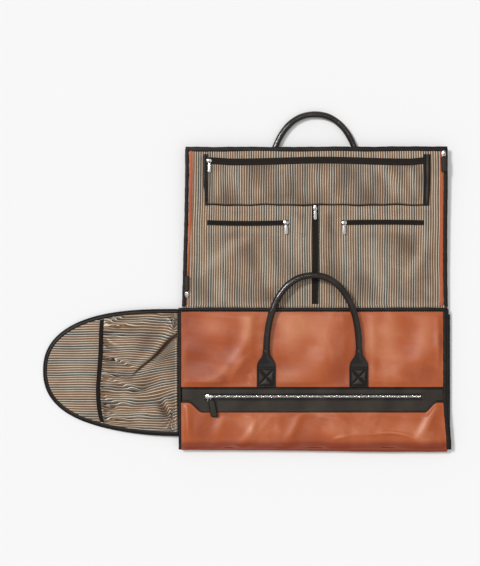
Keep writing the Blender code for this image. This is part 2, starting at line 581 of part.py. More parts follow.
def build_zips(front, back, front_level):
    """The seven sliders, each parked where it stands with the bag laid open."""
    mesh = slider_mesh()
    half_slider = SLIDER_WIDTH / 2
    front_x = -FRONT_ZIP_HALF + half_slider + 2 * FIT
    front_place = (front_x, FRONT_ZIP_Y, front_level + FIT)
    build_zip("front_pocket", front, front_place, 0.0, mesh, FRONT_PULL, DARK_LEATHER)
    top_x = -TOP_POCKET_HALF + half_slider + 2 * FIT
    top_place = (top_x, BACK_LENGTH - TOP_POCKET_DROP, 2 * FIT + POUCH_THICKNESS)
    build_zip("top_pocket", back, top_place, 0.0, mesh, METAL_PULL, CHROME)
    side_y = BACK_LENGTH - SIDE_ZIP_DROP
    level = 2 * FIT + ZIP_THICKNESS
    pocket_x = SIDE_ZIP_INNER + half_slider + 2 * FIT
    build_zip("left_pocket", back, (-pocket_x, side_y, level), 0.0, mesh, METAL_PULL, CHROME)
    build_zip("right_pocket", back, (pocket_x, side_y, level), 0.0, mesh, METAL_PULL, CHROME)
    garment_y = POUCH_LOW_Y - 2 * FIT - SLIDER_LENGTH / 2
    build_zip("garment", back, (0.0, garment_y, level), 0.0, mesh, METAL_PULL, CHROME)
    side_x = HALF_WIDTH - SIDE_SLIDER_INSET
    side_level = BINDING_PROUD + FIT
    build_zip("left_side", back, (-side_x, SIDE_SLIDER_LOW, side_level), math.pi, mesh,
              SIDE_PULL, DARK_LEATHER)
    build_zip("right_side", back, (side_x, BACK_LENGTH - SIDE_SLIDER_HIGH, side_level), 0.0, mesh,
              SIDE_PULL, DARK_LEATHER)


# ---- the whole bag ----------------------------------------------------------------------------------
def build_bag():
    """Every body on the empty of its joint, all under one empty at the world's origin point."""
    handle_end = HANDLE_REACH + HANDLE_RADIUS
    low_x = -LEFT_HINGE_X - END_LENGTH * math.cos(LEFT_TILT) + END_SHEETS * math.sin(LEFT_TILT)
    high_x = RIGHT_HINGE_X - HINGE_GAP
    low_y = FOLD_Y + HINGE_GAP
    handle_y = HALF_DEPTH + BACK_HANDLE_Y * math.cos(BACK_TILT)
    high_y = handle_y + handle_end
    root = empty("bag_origin", (-(low_x + high_x) / 2, -(low_y + high_y) / 2, 0.0))
    build_bottom(root)

    front = empty("front_panel_fold", (0.0, FOLD_Y, FOLD_LEVEL), parent=root)
    front_zip_level = build_front_panel(front)
    bend = (FRONT_HANDLE_SHIFT, TONGUE_HINGE_Y - FOLD_Y, TONGUE_HINGE_LEVEL - FOLD_LEVEL)
    tongues = empty("front_tongues_bend", bend, parent=front)
    build_front_tongues(tongues)
    front_handle = empty("front_handle_lift",
                         (0.0, FRONT_HANDLE_Y - TONGUE_HINGE_Y, FRONT_HANDLE_LEVEL - TONGUE_HINGE_LEVEL),
                         (HANDLE_LIFT, 0.0, 0.0), tongues)
    build_handle("front_handle", front_handle)

    back = empty("back_panel_fold", (0.0, HALF_DEPTH, BASE_TOP), (BACK_TILT, 0.0, 0.0), root)
    build_back_panel(back)
    build_lining_pockets(back)
    hinge_drop = (HANDLE_RADIUS - BASE_TOP - BACK_HANDLE_Y * math.sin(BACK_TILT)) / math.cos(BACK_TILT)
    back_handle = empty("back_handle_swing", (0.0, BACK_HANDLE_Y, hinge_drop), (-BACK_TILT, 0.0, 0.0), back)
    build_handle("back_handle", back_handle)

    left = empty("left_end_fold", (-LEFT_HINGE_X, 0.0, BASE_TOP), (0.0, LEFT_TILT, math.pi), root)
    build_end_panel("left", left, 0.0)
    build_shoe_pocket(left)
    right = empty("right_end_fold", (RIGHT_HINGE_X, 0.0, RIGHT_HINGE_LEVEL), (0.0, math.pi, 0.0), root)
    build_end_panel("right", right, RIGHT_LINING_LEVEL)

    build_zips(front, back, front_zip_level)


clear_scene()
build_bag()
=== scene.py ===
"""Looks of the garment duffel: leather, striped lining, zips, handles, stage, lights and camera.

Every piece is a surface worked out with numpy in the flat frame of its own panel and then laid on
that panel. A panel's frame has its origin on the fold line, u along the fold, v away from it and w
out of the panel, and all lengths are metres.
"""

import json
import math

import bmesh
import bpy
import numpy as np
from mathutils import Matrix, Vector


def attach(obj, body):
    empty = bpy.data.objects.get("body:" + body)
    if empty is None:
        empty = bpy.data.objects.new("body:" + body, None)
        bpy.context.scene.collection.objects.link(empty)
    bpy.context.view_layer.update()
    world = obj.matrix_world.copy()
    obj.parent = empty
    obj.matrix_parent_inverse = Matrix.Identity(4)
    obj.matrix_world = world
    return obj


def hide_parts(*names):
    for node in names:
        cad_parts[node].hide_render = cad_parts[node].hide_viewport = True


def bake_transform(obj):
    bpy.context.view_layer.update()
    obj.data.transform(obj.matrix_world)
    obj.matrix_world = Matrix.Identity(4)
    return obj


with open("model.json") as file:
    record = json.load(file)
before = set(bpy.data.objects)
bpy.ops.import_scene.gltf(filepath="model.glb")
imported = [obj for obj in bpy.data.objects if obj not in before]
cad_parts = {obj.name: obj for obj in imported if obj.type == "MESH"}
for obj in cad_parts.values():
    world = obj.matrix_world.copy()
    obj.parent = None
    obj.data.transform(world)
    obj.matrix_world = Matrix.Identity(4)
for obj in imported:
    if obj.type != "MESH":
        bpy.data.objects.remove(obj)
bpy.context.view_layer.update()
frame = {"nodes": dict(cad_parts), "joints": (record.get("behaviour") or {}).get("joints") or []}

bl_info = {
    "name": "Garment Duffel",
    "version": (1, 0, 0), "blender": (4, 5, 0),
    "location": "View3D > Sidebar > Duffel",
    "description": "Leather, lining, zips and handles of a garment duffel laid open",
    "category": "Object",
}

FACING_LOSS = 0.0055  # how much narrower the left facing is at the fold than at the top
ROOT_TUCK = 0.0075  # how far the right end's root is drawn in from its hinge
STEP_END = 0.012  # place, from the band's end, where its S-shaped step begins
STEP_RUN = 0.030  # length of that step
TUBE_RADIUS = 0.007  # of the front handle; the back one is as thick as its CAD node
LEG_LENGTH = 0.008  # straight leg of a handle below its bow
BOW_POWER = 2.2  # a handle's bow is a superellipse of this power
FOOT_HALF = 0.0192  # half width of a handle's foot
CHAIN_REACH = 0.0030  # how far the end panels' zip chain stands out of their binding
END_INSET = 0.0070  # from the end panels' outline to the edge of their skin and lining
PATCH_HALF_LENGTH = 0.021
PATCH_THICKNESS = 0.0026
PATCH_SEAM = 0.0034  # how far inside its rim a patch is stitched
UP = np.array([0.0, 0.0, 1.0])


# ---- the frame's panels -----------------------------------------------------------------------------
def joint_point(name):
    """The point that a hinge turns about."""
    for joint in frame["joints"]:
        if joint["name"] == name:
            return np.array(joint["pos_m"])
    raise RuntimeError(f"the frame has no joint {name}")


def node_points(name):
    """All vertices of a CAD node as an array."""
    mesh = frame["nodes"][name].data
    flat = np.zeros(len(mesh.vertices) * 3, np.float32)
    mesh.vertices.foreach_get("co", flat)
    return flat.reshape(-1, 3).astype(float)


class Panel:
    """A flat frame: an origin and three axes, with the CAD boxes of nodes in its own lengths.

    Slack gives the sideways and lengthways stray of the panel's cloth at a place.
    """

    def __init__(self, origin, u, v, slack=None):
        self.slack = slack
        self.origin = np.array(origin, float)
        self.u = np.array(u, float) / np.linalg.norm(u)
        w = np.cross(self.u, np.array(v, float))
        self.w = w / np.linalg.norm(w)
        self.v = np.cross(self.w, self.u)
        self.axes = np.stack([self.u, self.v, self.w])

    def place(self, points):
        """Panel lengths to the row frame."""
        if self.slack:
            points = points.copy()
            stray = self.slack(points[..., 0], points[..., 1])
            points[..., 0] += stray[0]
            points[..., 1] += stray[1]
        return points @ self.axes + self.origin

    def box(self, node):
        """Lowest and highest corner of a CAD node, in panel lengths."""
        local = (node_points(node) - self.origin) @ self.axes.T
        return local.min(0), local.max(0)


def smooth(t):
    """S-shaped rise from 0 to 1."""
    t = np.clip(t, 0.0, 1.0)
    return t * t * (3.0 - 2.0 * t)


def front_slack(x, y):
    """The front panel's sides lie a little to the left; its right side spreads towards the fold."""
    right = (-0.0055 + 0.0075 * smooth((0.115 - y) / 0.115)) * smooth((x - 0.13) / 0.15)
    return right - 0.0050 * smooth((-x - 0.13) / 0.14), 0.0010 * smooth((y - 0.26) / 0.03)


def back_slack(x, y):
    """The back panel's left side draws in towards its top."""
    return 0.0055 * smooth(y / 0.30) * smooth((-x - 0.16) / 0.11), 0.0 * y


def left_slack(x, y):
    """The left end sags a little on the side near the fold."""
    return 0.0 * x, 0.055 * np.maximum(y, 0.0) * smooth(1.0 - x / 0.20)


def right_slack(x, y):
    """The right end is tucked in under the bottom at its root."""
    return ROOT_TUCK * (1.0 - smooth(x / 0.07)), 0.0 * y


def slope_of(node, along):
    """Direction of a node's upper face along one world axis, from its highest corners at both ends."""
    points = node_points(node)
    reach = points[:, along]
    middle = (reach.min() + reach.max()) / 2
    near, far = points[reach < middle], points[reach > middle]
    step = far[far[:, 2].argmax()] - near[near[:, 2].argmax()]
    direction = np.zeros(3)
    direction[along] = step[along]
    direction[2] = step[2]
    return direction / np.linalg.norm(direction)


BOTTOM = Panel(joint_point("back_panel_fold") * (1, 0, 0), (1, 0, 0), (0, 1, 0))
FRONT = Panel(joint_point("front_panel_fold"), (1, 0, 0), (0, 1, 0), front_slack)
BACK = Panel(joint_point("back_panel_fold"), (1, 0, 0), slope_of("back_outer", 1), back_slack)
LEFT = Panel(joint_point("left_end_fold"), -slope_of("left_end_outer", 0), (0, -1, 0), left_slack)
RIGHT = Panel(joint_point("right_end_fold"), (-1, 0, 0), (0, 1, 0), right_slack)


# ---- settings ---------------------------------------------------------------------------------------
def colour(name, description, value):
    """A colour property."""
    return bpy.props.FloatVectorProperty(name=name, description=description, subtype="COLOR", size=3,
                                         min=0.0, max=1.0, default=value)


def length(name, description, value):
    """A length property in metres."""
    return bpy.props.FloatProperty(name=name, description=description, default=value, min=0.0,
                                   soft_max=1.0, precision=4, unit="LENGTH", subtype="DISTANCE")


class DuffelLeather(bpy.types.PropertyGroup):
    """Colours and relief of the leather."""

    tan: colour("Tan", "Main colour of the skins", (0.46, 0.094, 0.017))
    # Pale tan is the paler random tone and also the painted highlight; deep tan is the darker random tone and
    # also the painted shade in folds and hollows.
    tan_pale: colour("Pale tan", "Tan where it is stretched or rubbed", (0.68, 0.27, 0.13))
    tan_deep: colour("Deep tan", "Tan in the folds", (0.23, 0.030, 0.002))
    black: colour("Black", "Bindings, band and handles", (0.0075, 0.0042, 0.0026))
    # Pale black is the lighter worn black of the band and also the painted highlight on patches and pull
    # tabs.
    black_highlight_and_wear: colour("Worn black", "Black where it is rubbed", (0.045, 0.035, 0.025))
    grain: length("Grain", "Size of the pebbles", 0.0011)
    crease_height: length("Crease height", "Height of the main creases", 0.0044)


class DuffelCloth(bpy.types.PropertyGroup):
    """Colours and stripes of the lining, and colours of the tapes."""

    cream: colour("Cream", "Pale stripe", (0.80, 0.69, 0.56))
    brown: colour("Brown", "Warm stripe", (0.29, 0.165, 0.085))
    slate: colour("Slate", "Blue-grey stripe", (0.20, 0.215, 0.195))
    line: colour("Line", "Dark line between stripes", (0.010, 0.006, 0.004))
    repeat: length("Stripe repeat", "Width of one repeat of the stripes", 0.0051)
    tape: colour("Tape", "Zip tapes", (0.011, 0.008, 0.006))
    elastic: colour("Elastic", "Band round the pocket mouth", (0.009, 0.006, 0.005))
    thread: colour("Thread", "Stitches", (0.014, 0.010, 0.008))


class DuffelTrim(bpy.types.PropertyGroup):
    """Sizes of stitches, teeth and piping."""

    stitch: length("Stitch", "Length of one stitch with its gap", 0.0040)
    stitch_width: length("Stitch width", "Width of the thread", 0.0007)
    tooth_pitch: length("Tooth pitch", "Distance between zip teeth", 0.0026)
    chrome: colour("Chrome", "Sliders, pulls and teeth", (0.80, 0.79, 0.78))


# ---- shapes -----------------------------------------------------------------------------------------
def bell(distance, width):
    """A bell that is 1 at no distance and has fallen to 0.37 at its width."""
    return np.exp(-(distance / width) ** 2)


def signed_power(value, power):
    """The power of the size of a value, with the value's sign."""
    return np.sign(value) * np.abs(value) ** power


def run_of(path):
    """Length run along a path at each of its points."""
    return np.concatenate([[0.0], np.cumsum(np.linalg.norm(np.diff(path, axis=0), axis=1))])


def resampled(path, at, run):
    """Points of a path at some lengths of its run."""
    return np.stack([np.interp(at, run, path[:, i]) for i in range(path.shape[1])], -1)


def superellipse(angle, power):
    """Across and upward shares of a rounded square at some angles; power 2 is a circle."""
    return signed_power(np.cos(angle), 2 / power), signed_power(np.sin(angle), 2 / power)


def ring_angles(count):
    """Even angles round a ring, half a step off its axes."""
    return np.arange(count) * 2 * math.pi / count + math.pi / count


def spread(low, high, count, edge=0.0012, inner=()):
    """Places from low to high with a few extra ones near both ends and round each inner place."""
    near = edge * (1 - np.cos(np.linspace(0, math.pi / 2, 4)))
    parts = [low + near, np.linspace(low, high, count + 2)[1:-1], high - near]
    parts += [np.array([place]) for place in inner]
    places = np.unique(np.round(np.concatenate(parts), 7))
    keep = np.concatenate([[True], np.diff(places) > 0.00012])
    return places[keep]


def waves(x, y, seed, lengths, height):
    """Sum of long sine waves in random directions, the shorter ones lower."""
    rng = np.random.default_rng(seed)
    total = np.zeros(np.broadcast(x, y).shape)
    for wave_length in lengths:
        angle = rng.uniform(0, math.pi)
        phase = rng.uniform(0, 2 * math.pi)
        across = (x * math.cos(angle) + y * math.sin(angle)) / wave_length
        total += wave_length / lengths[0] * np.sin(2 * math.pi * across + phase)
    return height * total / len(lengths)


def crease(x, y, start, end, width, height, bow=0.0):
    """A ridge from start to end: a bell across it and a half sine along it, bowed to one side."""
    start, end = np.array(start), np.array(end)
    run = np.linalg.norm(end - start)
    along = (end - start) / run
    dx, dy = x - start[0], y - start[1]
    s = (dx * along[0] + dy * along[1]) / run
    inside = np.clip(s, 0.0, 1.0)
    off = -dx * along[1] + dy * along[0] - bow * np.sin(math.pi * inside)
    fade = np.sin(math.pi * inside) ** 0.8
    return height * fade * bell(off, width)


def quads_of(rows, columns, flip=False, wrap=False):
    """Quads of a grid of vertices stored row by row; wrap joins the last column to the first."""
    last = columns if wrap else columns - 1
    r, c = np.meshgrid(np.arange(rows - 1), np.arange(last), indexing="ij")
    nxt = (c + 1) % columns
    a, b = r * columns + c, r * columns + nxt
    d, e = (r + 1) * columns + c, (r + 1) * columns + nxt
    faces = np.stack([a, b, e, d], -1).reshape(-1, 4)
    return faces[:, ::-1] if flip else faces


def new_piece(name, points, faces, look, uv=None, wear=None):
    """Object from arrays of points and quads, with a UV map from per-vertex pairs and an attribute that holds
    painted highlight, painted shade and some real wear.

    Every shape here is closed, so its faces are turned outwards once it is whole.
    """
    mesh = bpy.data.meshes.new(name)
    points = np.asarray(points, np.float32)
    faces = np.asarray(faces, np.int32)
    mesh.vertices.add(len(points))
    mesh.vertices.foreach_set("co", points.ravel())
    mesh.loops.add(faces.size)
    mesh.loops.foreach_set("vertex_index", faces.ravel())
    mesh.polygons.add(len(faces))
    mesh.polygons.foreach_set("loop_start", np.arange(0, faces.size, faces.shape[1], dtype=np.int32))
    mesh.polygons.foreach_set("use_smooth", np.full(len(faces), True))
    mesh.update(calc_edges=True)
    if uv is not None:
        layer = mesh.uv_layers.new(name="cut")
        layer.data.foreach_set("uv", np.asarray(uv, np.float32)[faces.ravel()].ravel())
    values = np.zeros(len(points), np.float32) if wear is None else np.asarray(wear, np.float32)
    mesh.attributes.new("wear", "FLOAT", "POINT").data.foreach_set("value", values)
    if mesh.validate():
        raise RuntimeError(f"{name} has faces that don't hold together")
    shape = bmesh.new()
    shape.from_mesh(mesh)
    bmesh.ops.recalc_face_normals(shape, faces=shape.faces)
    shape.to_mesh(mesh)
    shape.free()
    obj = bpy.data.objects.new(name, mesh)
    mesh.materials.append(look)
    bpy.context.scene.collection.objects.link(obj)
    return obj


def closed_sheet(name, panel, middle, normal, thickness, look, uv, wear=None, radius=0.0008):
    """A sheet with two faces, half a thickness to either side of a grid of middle points along their
    normals, that close in a half round within radius of the grid's border."""
    rows, columns = middle.shape[:2]
    step_c = np.linalg.norm(np.diff(middle, axis=1), axis=2)
    step_r = np.linalg.norm(np.diff(middle, axis=0), axis=2)
    run_c = np.concatenate([np.zeros((rows, 1)), np.cumsum(step_c, 1)], 1)
    run_r = np.concatenate([np.zeros((1, columns)), np.cumsum(step_r, 0)], 0)
    near = np.minimum(np.minimum(run_c, run_c[:, -1:] - run_c), np.minimum(run_r, run_r[-1:, :] - run_r))
    t = np.clip(near / radius, 0.0, 1.0)
    half = (np.sqrt(np.clip(1 - (1 - t) ** 2, 0.0, 1.0)) * thickness / 2)[..., None]
    upper = (middle + normal * half).reshape(-1, 3)
    lower = (middle - normal * half).reshape(-1, 3)
    border = np.zeros((rows, columns), bool)
    border[[0, -1], :] = True
    border[:, [0, -1]] = True
    border = border.ravel()
    below = np.arange(rows * columns)
    below[~border] = rows * columns + np.arange((~border).sum())
    points = np.concatenate([upper, lower[~border]])
    faces = np.concatenate([quads_of(rows, columns), below[quads_of(rows, columns, flip=True)]])
    uv = np.asarray(uv).reshape(-1, 2)
    uv = np.concatenate([uv, uv[~border]])
    if wear is not None:
        wear = np.concatenate([wear.ravel(), np.zeros((~border).sum())])
    return new_piece(name, panel.place(points), faces, look, uv, wear)


def slab(name, panel, x, y, top, thickness, look, uv=None, wear=None, radius=0.0008):
    """Sheet over a grid of x and y whose upper face is the height top."""
    x, y, top = np.broadcast_arrays(x, y, top)
    middle = np.stack([x, y, top - thickness / 2], -1)
    if uv is None:
        uv = np.stack([x, y], -1)
    return closed_sheet(name, panel, middle, UP, thickness, look, uv, wear, radius)


def carried(name, panel, path, normal, profile, look, closed=False, scale=None):
    """A closed profile carried along a path: at each point the profile's first axis lies across the
    path in the panel and its second along the local normal; scale is the profile's size per point.

    The ends are closed with a fan to their middles unless the path is closed.
    """
    count = len(path)
    if closed:
        ahead = np.roll(path, -1, 0) - np.roll(path, 1, 0)
    else:
        ahead = np.gradient(path, axis=0)
    ahead /= np.linalg.norm(ahead, axis=1)[:, None]
    up = normal / np.linalg.norm(normal, axis=-1, keepdims=True) * np.ones((count, 1))
    up = up - (up * ahead).sum(1)[:, None] * ahead
    up /= np.linalg.norm(up, axis=1)[:, None]
    side = np.cross(ahead, up)
    shape = np.asarray(profile)
    if shape.ndim == 2:
        shape = np.repeat(shape[None], count, 0)
    if scale is not None:
        shape = shape * np.asarray(scale).reshape(count, -1, 1)
    rings = path[:, None, :] + side[:, None, :] * shape[..., :1] + up[:, None, :] * shape[..., 1:]
    n = rings.shape[1]
    points = rings.reshape(-1, 3)
    faces = quads_of(count, n, wrap=True)
    run = run_of(path)
    girth = np.linalg.norm(np.diff(shape[0], axis=0, append=shape[0][:1]), axis=1)
    around = np.concatenate([[0.0], np.cumsum(girth)[:-1]])
    uv = np.stack(np.broadcast_arrays(around[None, :], run[:, None]), -1).reshape(-1, 2)
    if closed:
        faces = np.concatenate([faces, np.stack([
            (count - 1) * n + np.arange(n), (count - 1) * n + (np.arange(n) + 1) % n,
            (np.arange(n) + 1) % n, np.arange(n)], -1)])
    else:
        caps, cap_points, cap_uv = [], [], []
        for ring, flip in ((0, False), (count - 1, True)):
            middle = len(points) + len(cap_points)
            cap_points.append(rings[ring].mean(0))
            cap_uv.append(uv[ring * n:(ring + 1) * n].mean(0))
            a = ring * n + np.arange(0, n, 2)
            b = ring * n + (np.arange(0, n, 2) + 1) % n
            c = ring * n + (np.arange(0, n, 2) + 2) % n
            fan = np.stack([np.full(len(a), middle), c, b, a], -1)
            caps.append(fan[:, ::-1] if flip else fan)
        points = np.concatenate([points, np.array(cap_points)])
        uv = np.concatenate([uv, np.array(cap_uv)])
        faces = np.concatenate([faces, *caps])
    return new_piece(name, panel.place(points), faces, look, uv)


def rounded(width, height, count=16, power=3.2):
    """Profile of a rolled edge: a superellipse of an even number of points."""
    across, up = superellipse(ring_angles(count), power)
    return np.stack([across * width / 2, up * height / 2], -1)


def instances(name, panel, places, along, up, shape, faces, look):
    """Copies of a small shape, one at each place, its x axis along the run and its z axis up."""
    along = along / np.linalg.norm(along, axis=1)[:, None]
    side = np.cross(up, along)
    side /= np.linalg.norm(side, axis=1)[:, None]
    rise = np.cross(along, side)
    points = (places[:, None, :] + along[:, None, :] * shape[None, :, :1]
              + side[:, None, :] * shape[None, :, 1:2] + rise[:, None, :] * shape[None, :, 2:3])
    offsets = np.arange(len(places))[:, None, None] * len(shape)
    all_faces = (faces[None] + offsets).reshape(-1, faces.shape[1])
    flat = points.reshape(-1, 3)
    return new_piece(name, panel.place(flat), all_faces, look, flat[:, :2])


def lozenge(long, wide, high):
    """A stitch: a short rod, square across, thick in its middle and pinched at both ends."""
    rings = []
    for share, size in ((-0.5, 0.25), (-0.3, 0.9), (0.3, 0.9), (0.5, 0.25)):
        angle = np.arange(4) * math.pi / 2 + math.pi / 4
        rings.append(np.stack([np.full(4, share * long), np.cos(angle) * wide * size * 0.7,
                               np.sin(angle) * high * size * 0.7], -1))
    points = np.concatenate(rings)
    faces = quads_of(4, 4, wrap=True)
    ends = np.array([[3, 2, 1, 0], [12, 13, 14, 15]])
    return points, np.concatenate([faces, ends])


def block(long, wide, high, soft=0.22):
    """A small chamfered block standing on z = 0."""
    x, y = long / 2, wide / 2
    inset = soft * min(wide, long)
    low = [(-x, -y, 0), (x, -y, 0), (x, y, 0), (-x, y, 0)]
    mid = [(-x, -y, high * 0.65), (x, -y, high * 0.65), (x, y, high * 0.65), (-x, y, high * 0.65)]
    top = [(-x + inset, -y + inset, high), (x - inset, -y + inset, high),
           (x - inset, y - inset, high), (-x + inset, y - inset, high)]
    points = np.array(low + mid + top, float)
    faces = quads_of(3, 4, wrap=True)
    ends = np.array([[3, 2, 1, 0], [8, 9, 10, 11]])
    return points, np.concatenate([faces, ends])


def along_path(path, pitch, start=0.0, end=0.0):
    """Evenly spaced points on a path and the direction there."""
    run = run_of(path)
    count = max(int((run[-1] - start - end) / pitch), 1)
    at = start + (np.arange(count) + 0.5) * (run[-1] - start - end) / count
    ahead = resampled(path, at + pitch / 3, run) - resampled(path, at - pitch / 3, run)
    return resampled(path, at, run), ahead


def stitches(name, panel, path, body, width=None):
    """A row of stitches along a path, standing half out of the leather."""
    trim = bpy.context.scene.duffel_trim
    pitch = trim.stitch
    places, along = along_path(path, pitch)
    up = np.tile(UP, (len(places), 1))
    wide = width or trim.stitch_width
    shape, faces = lozenge(pitch * 0.8, wide, wide)
    obj = instances(name, panel, places, along, up, shape, faces, material("thread"))
    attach(obj, body)
    return obj


# ---- materials --------------------------------------------------------------------------------------
def node(tree, kind, **values):
    """A shader node with some of its inputs or settings set."""
    made = tree.nodes.new(kind)
    for key, value in values.items():
        if key in made.inputs:
            made.inputs[key].default_value = value
        else:
            setattr(made, key, value)
    return made


def ramp(tree, factor, stops, smooth_steps=True):
    """A colour ramp of (place, colour) stops read at factor."""
    made = tree.nodes.new("ShaderNodeValToRGB")
    made.color_ramp.interpolation = "EASE" if smooth_steps else "CONSTANT"
    while len(made.color_ramp.elements) < len(stops):
        made.color_ramp.elements.new(0.5)
    for element, (place, value) in zip(made.color_ramp.elements, stops):
        element.position = place
        element.color = (*value, 1.0)
    tree.links.new(factor, made.inputs["Fac"])
    return made.outputs["Color"]


def maths(tree, operation, a, b):
    """A math node on two sockets or numbers."""
    made = tree.nodes.new("ShaderNodeMath")
    made.operation = operation
    for socket, value in zip(made.inputs, (a, b)):
        if isinstance(value, (int, float)):
            socket.default_value = value
        else:
            tree.links.new(value, socket)
    return made.outputs[0]


def times(tree, a, b):
    """Product of two sockets or numbers."""
    return maths(tree, "MULTIPLY", a, b)


def plus(tree, a, b):
    """Sum of two sockets or numbers."""
    return maths(tree, "ADD", a, b)


def mixed(tree, factor, a, b, blend="MIX"):
    """Colour mix of two sockets or colours."""
    made = tree.nodes.new("ShaderNodeMix")
    made.data_type = "RGBA"
    made.blend_type = blend
    for key, value in (("Factor", factor), ("A", a), ("B", b)):
        sockets = [s for s in made.inputs if s.name == key and s.enabled]
        socket = sockets[-1] if key != "Factor" else sockets[0]
        if isinstance(value, bpy.types.NodeSocket):
            tree.links.new(value, socket)
        elif isinstance(value, (int, float)):
            socket.default_value = value
        else:
            socket.default_value = (*value, 1.0)
    return [s for s in made.outputs if s.enabled][0]


def start_material(name, roughness, metallic=0.0):
    """A new node material and its parts: tree, shader, object coordinates, own UV map."""
    made = bpy.data.materials.new(name)
    made.use_nodes = True
    tree = made.node_tree
    shader = tree.nodes["Principled BSDF"]
    shader.inputs["Roughness"].default_value = roughness
    shader.inputs["Metallic"].default_value = metallic
    where = tree.nodes.new("ShaderNodeTexCoord").outputs["Object"]
    own = node(tree, "ShaderNodeUVMap", uv_map="cut").outputs["UV"]
    return made, tree, shader, where, own


def bump(tree, shader, height, strength, distance):
    """A bump on the shader's normal."""
    made = node(tree, "ShaderNodeBump", Strength=strength, Distance=distance)
    tree.links.new(height, made.inputs["Height"])
    tree.links.new(made.outputs["Normal"], shader.inputs["Normal"])


def noise(tree, where, scale, detail=3.0, rough=0.55, distortion=0.0):
    """Noise at a scale per metre."""
    made = node(tree, "ShaderNodeTexNoise", Scale=scale, Detail=detail, Roughness=rough,
                Distortion=distortion)
    tree.links.new(where, made.inputs["Vector"])
    return made.outputs["Fac"]


def leather(name, main, pale, deep, rough, shine, grain):
    """Grained leather: cloudy colour, pale places of painted highlight and rub, deep places of painted shade,
    pebbles with fine pores between them.
    """
    made, tree, shader, where, _ = start_material(name, rough[0])
    cloud = noise(tree, where, 9.0, 4.0, 0.6, 0.4)
    fine = noise(tree, where, 160.0, 3.0, 0.6)
    tone = ramp(tree, cloud, [(0.16, deep), (0.50, main), (0.92, pale)])
    tone = mixed(tree, times(tree, fine, 0.30), tone, deep)
    # Positive attribute values paint highlight and rub towards the pale colour; negative ones paint shade
    # towards the deep colour.
    wear = node(tree, "ShaderNodeAttribute", attribute_name="wear").outputs["Fac"]
    painted_highlight_and_rub = times(tree, wear, plus(tree, times(tree, fine, 0.5), 0.55))
    tone = mixed(tree, maths(tree, "MINIMUM", painted_highlight_and_rub, 1.0), tone, pale)
    painted_shade_and_dark_wear = maths(tree, "MINIMUM", maths(tree, "MAXIMUM", times(tree, wear, -1.0), 0.0), 1.0)
    tone = mixed(tree, painted_shade_and_dark_wear, tone, deep)
    tree.links.new(tone, shader.inputs["Base Color"])
    cells = node(tree, "ShaderNodeTexVoronoi", Scale=1.0 / grain, Randomness=0.9)
    cells.feature = "SMOOTH_F1"
    tree.links.new(where, cells.inputs["Vector"])
    pebbles = maths(tree, "POWER", cells.outputs["Distance"], 1.6)
    relief = plus(tree, times(tree, pebbles, -0.6), times(tree, fine, 0.5))
    spread_rough = plus(tree, times(tree, cells.outputs["Distance"], rough[1]), rough[0])
    tree.links.new(spread_rough, shader.inputs["Roughness"])
    shader.inputs["Specular IOR Level"].default_value = shine
    bump(tree, shader, relief, 0.45, grain * 0.35)
    return made


def stripes(name, look, width_repeat):
    """Striped lining: stripes across the cloth's own u, thread streaks along v, and a fine twill."""
    made, tree, shader, _, own = start_material(name, 0.82)
    split = node(tree, "ShaderNodeSeparateXYZ")
    tree.links.new(own, split.inputs[0])
    u, v = split.outputs[0], split.outputs[1]
    wobble = noise(tree, own, 14.0, 2.0, 0.5)
    shifted = plus(tree, u, times(tree, maths(tree, "SUBTRACT", wobble, 0.5), 0.0016))
    phase = maths(tree, "FRACT", plus(tree, maths(tree, "DIVIDE", shifted, width_repeat), 50.0), 0.0)
    cream, brown, slate, line = look
    shade = tuple((a + 3 * b) / 4 for a, b in zip(brown, line))
    cool = ramp(tree, phase, [(0.0, line), (0.17, cream), (0.45, line), (0.58, slate), (0.84, line)], False)
    warm = ramp(tree, phase, [(0.0, shade), (0.17, cream), (0.43, brown), (0.58, shade), (0.71, brown)],
                False)
    group = maths(tree, "FRACT", plus(tree, maths(tree, "DIVIDE", shifted, width_repeat * 5.6), 50.0), 0.0)
    blend = ramp(tree, group, [(0.0, (0.0, 0.0, 0.0)), (0.14, (1.0, 1.0, 1.0)), (0.36, (1.0, 1.0, 1.0)),
                               (0.52, (0.0, 0.0, 0.0)), (1.0, (0.0, 0.0, 0.0))])
    tone = mixed(tree, blend, warm, cool)
    stretched = node(tree, "ShaderNodeMapping")
    stretched.inputs["Scale"].default_value = (2200.0, 160.0, 1.0)
    tree.links.new(own, stretched.inputs["Vector"])
    streak = noise(tree, stretched.outputs[0], 1.0, 2.0, 0.5)
    tone = mixed(tree, times(tree, streak, 0.10), tone, (0.11, 0.085, 0.065))
    blotch = noise(tree, own, 30.0, 3.0, 0.6, 0.6)
    stain = ramp(tree, blotch, [(0.35, (0.84, 0.75, 0.68)), (0.6, (1.0, 1.0, 1.0))])
    tone = mixed(tree, 0.5, tone, stain, "MULTIPLY")
    wear = node(tree, "ShaderNodeAttribute", attribute_name="wear").outputs["Fac"]
    # Painted shade in the folds towards dark brown, painted highlight on their ridges towards cream.
    tone = mixed(tree, maths(tree, "MAXIMUM", times(tree, wear, -0.85), 0.0), tone, (0.050, 0.022, 0.010))
    tone = mixed(tree, maths(tree, "MAXIMUM", times(tree, wear, 0.16), 0.0), tone, cream)
    tree.links.new(tone, shader.inputs["Base Color"])
    twill = plus(tree, times(tree, u, 9000.0), times(tree, v, 9000.0))
    weave = maths(tree, "SINE", twill, 0.0)
    across = maths(tree, "SINE", times(tree, v, 12000.0), 0.0)
    cloth = plus(tree, times(tree, weave, across), times(tree, streak, 1.4))
    shader.inputs["Specular IOR Level"].default_value = 0.3
    bump(tree, shader, cloth, 0.35, 0.0002)
    return made


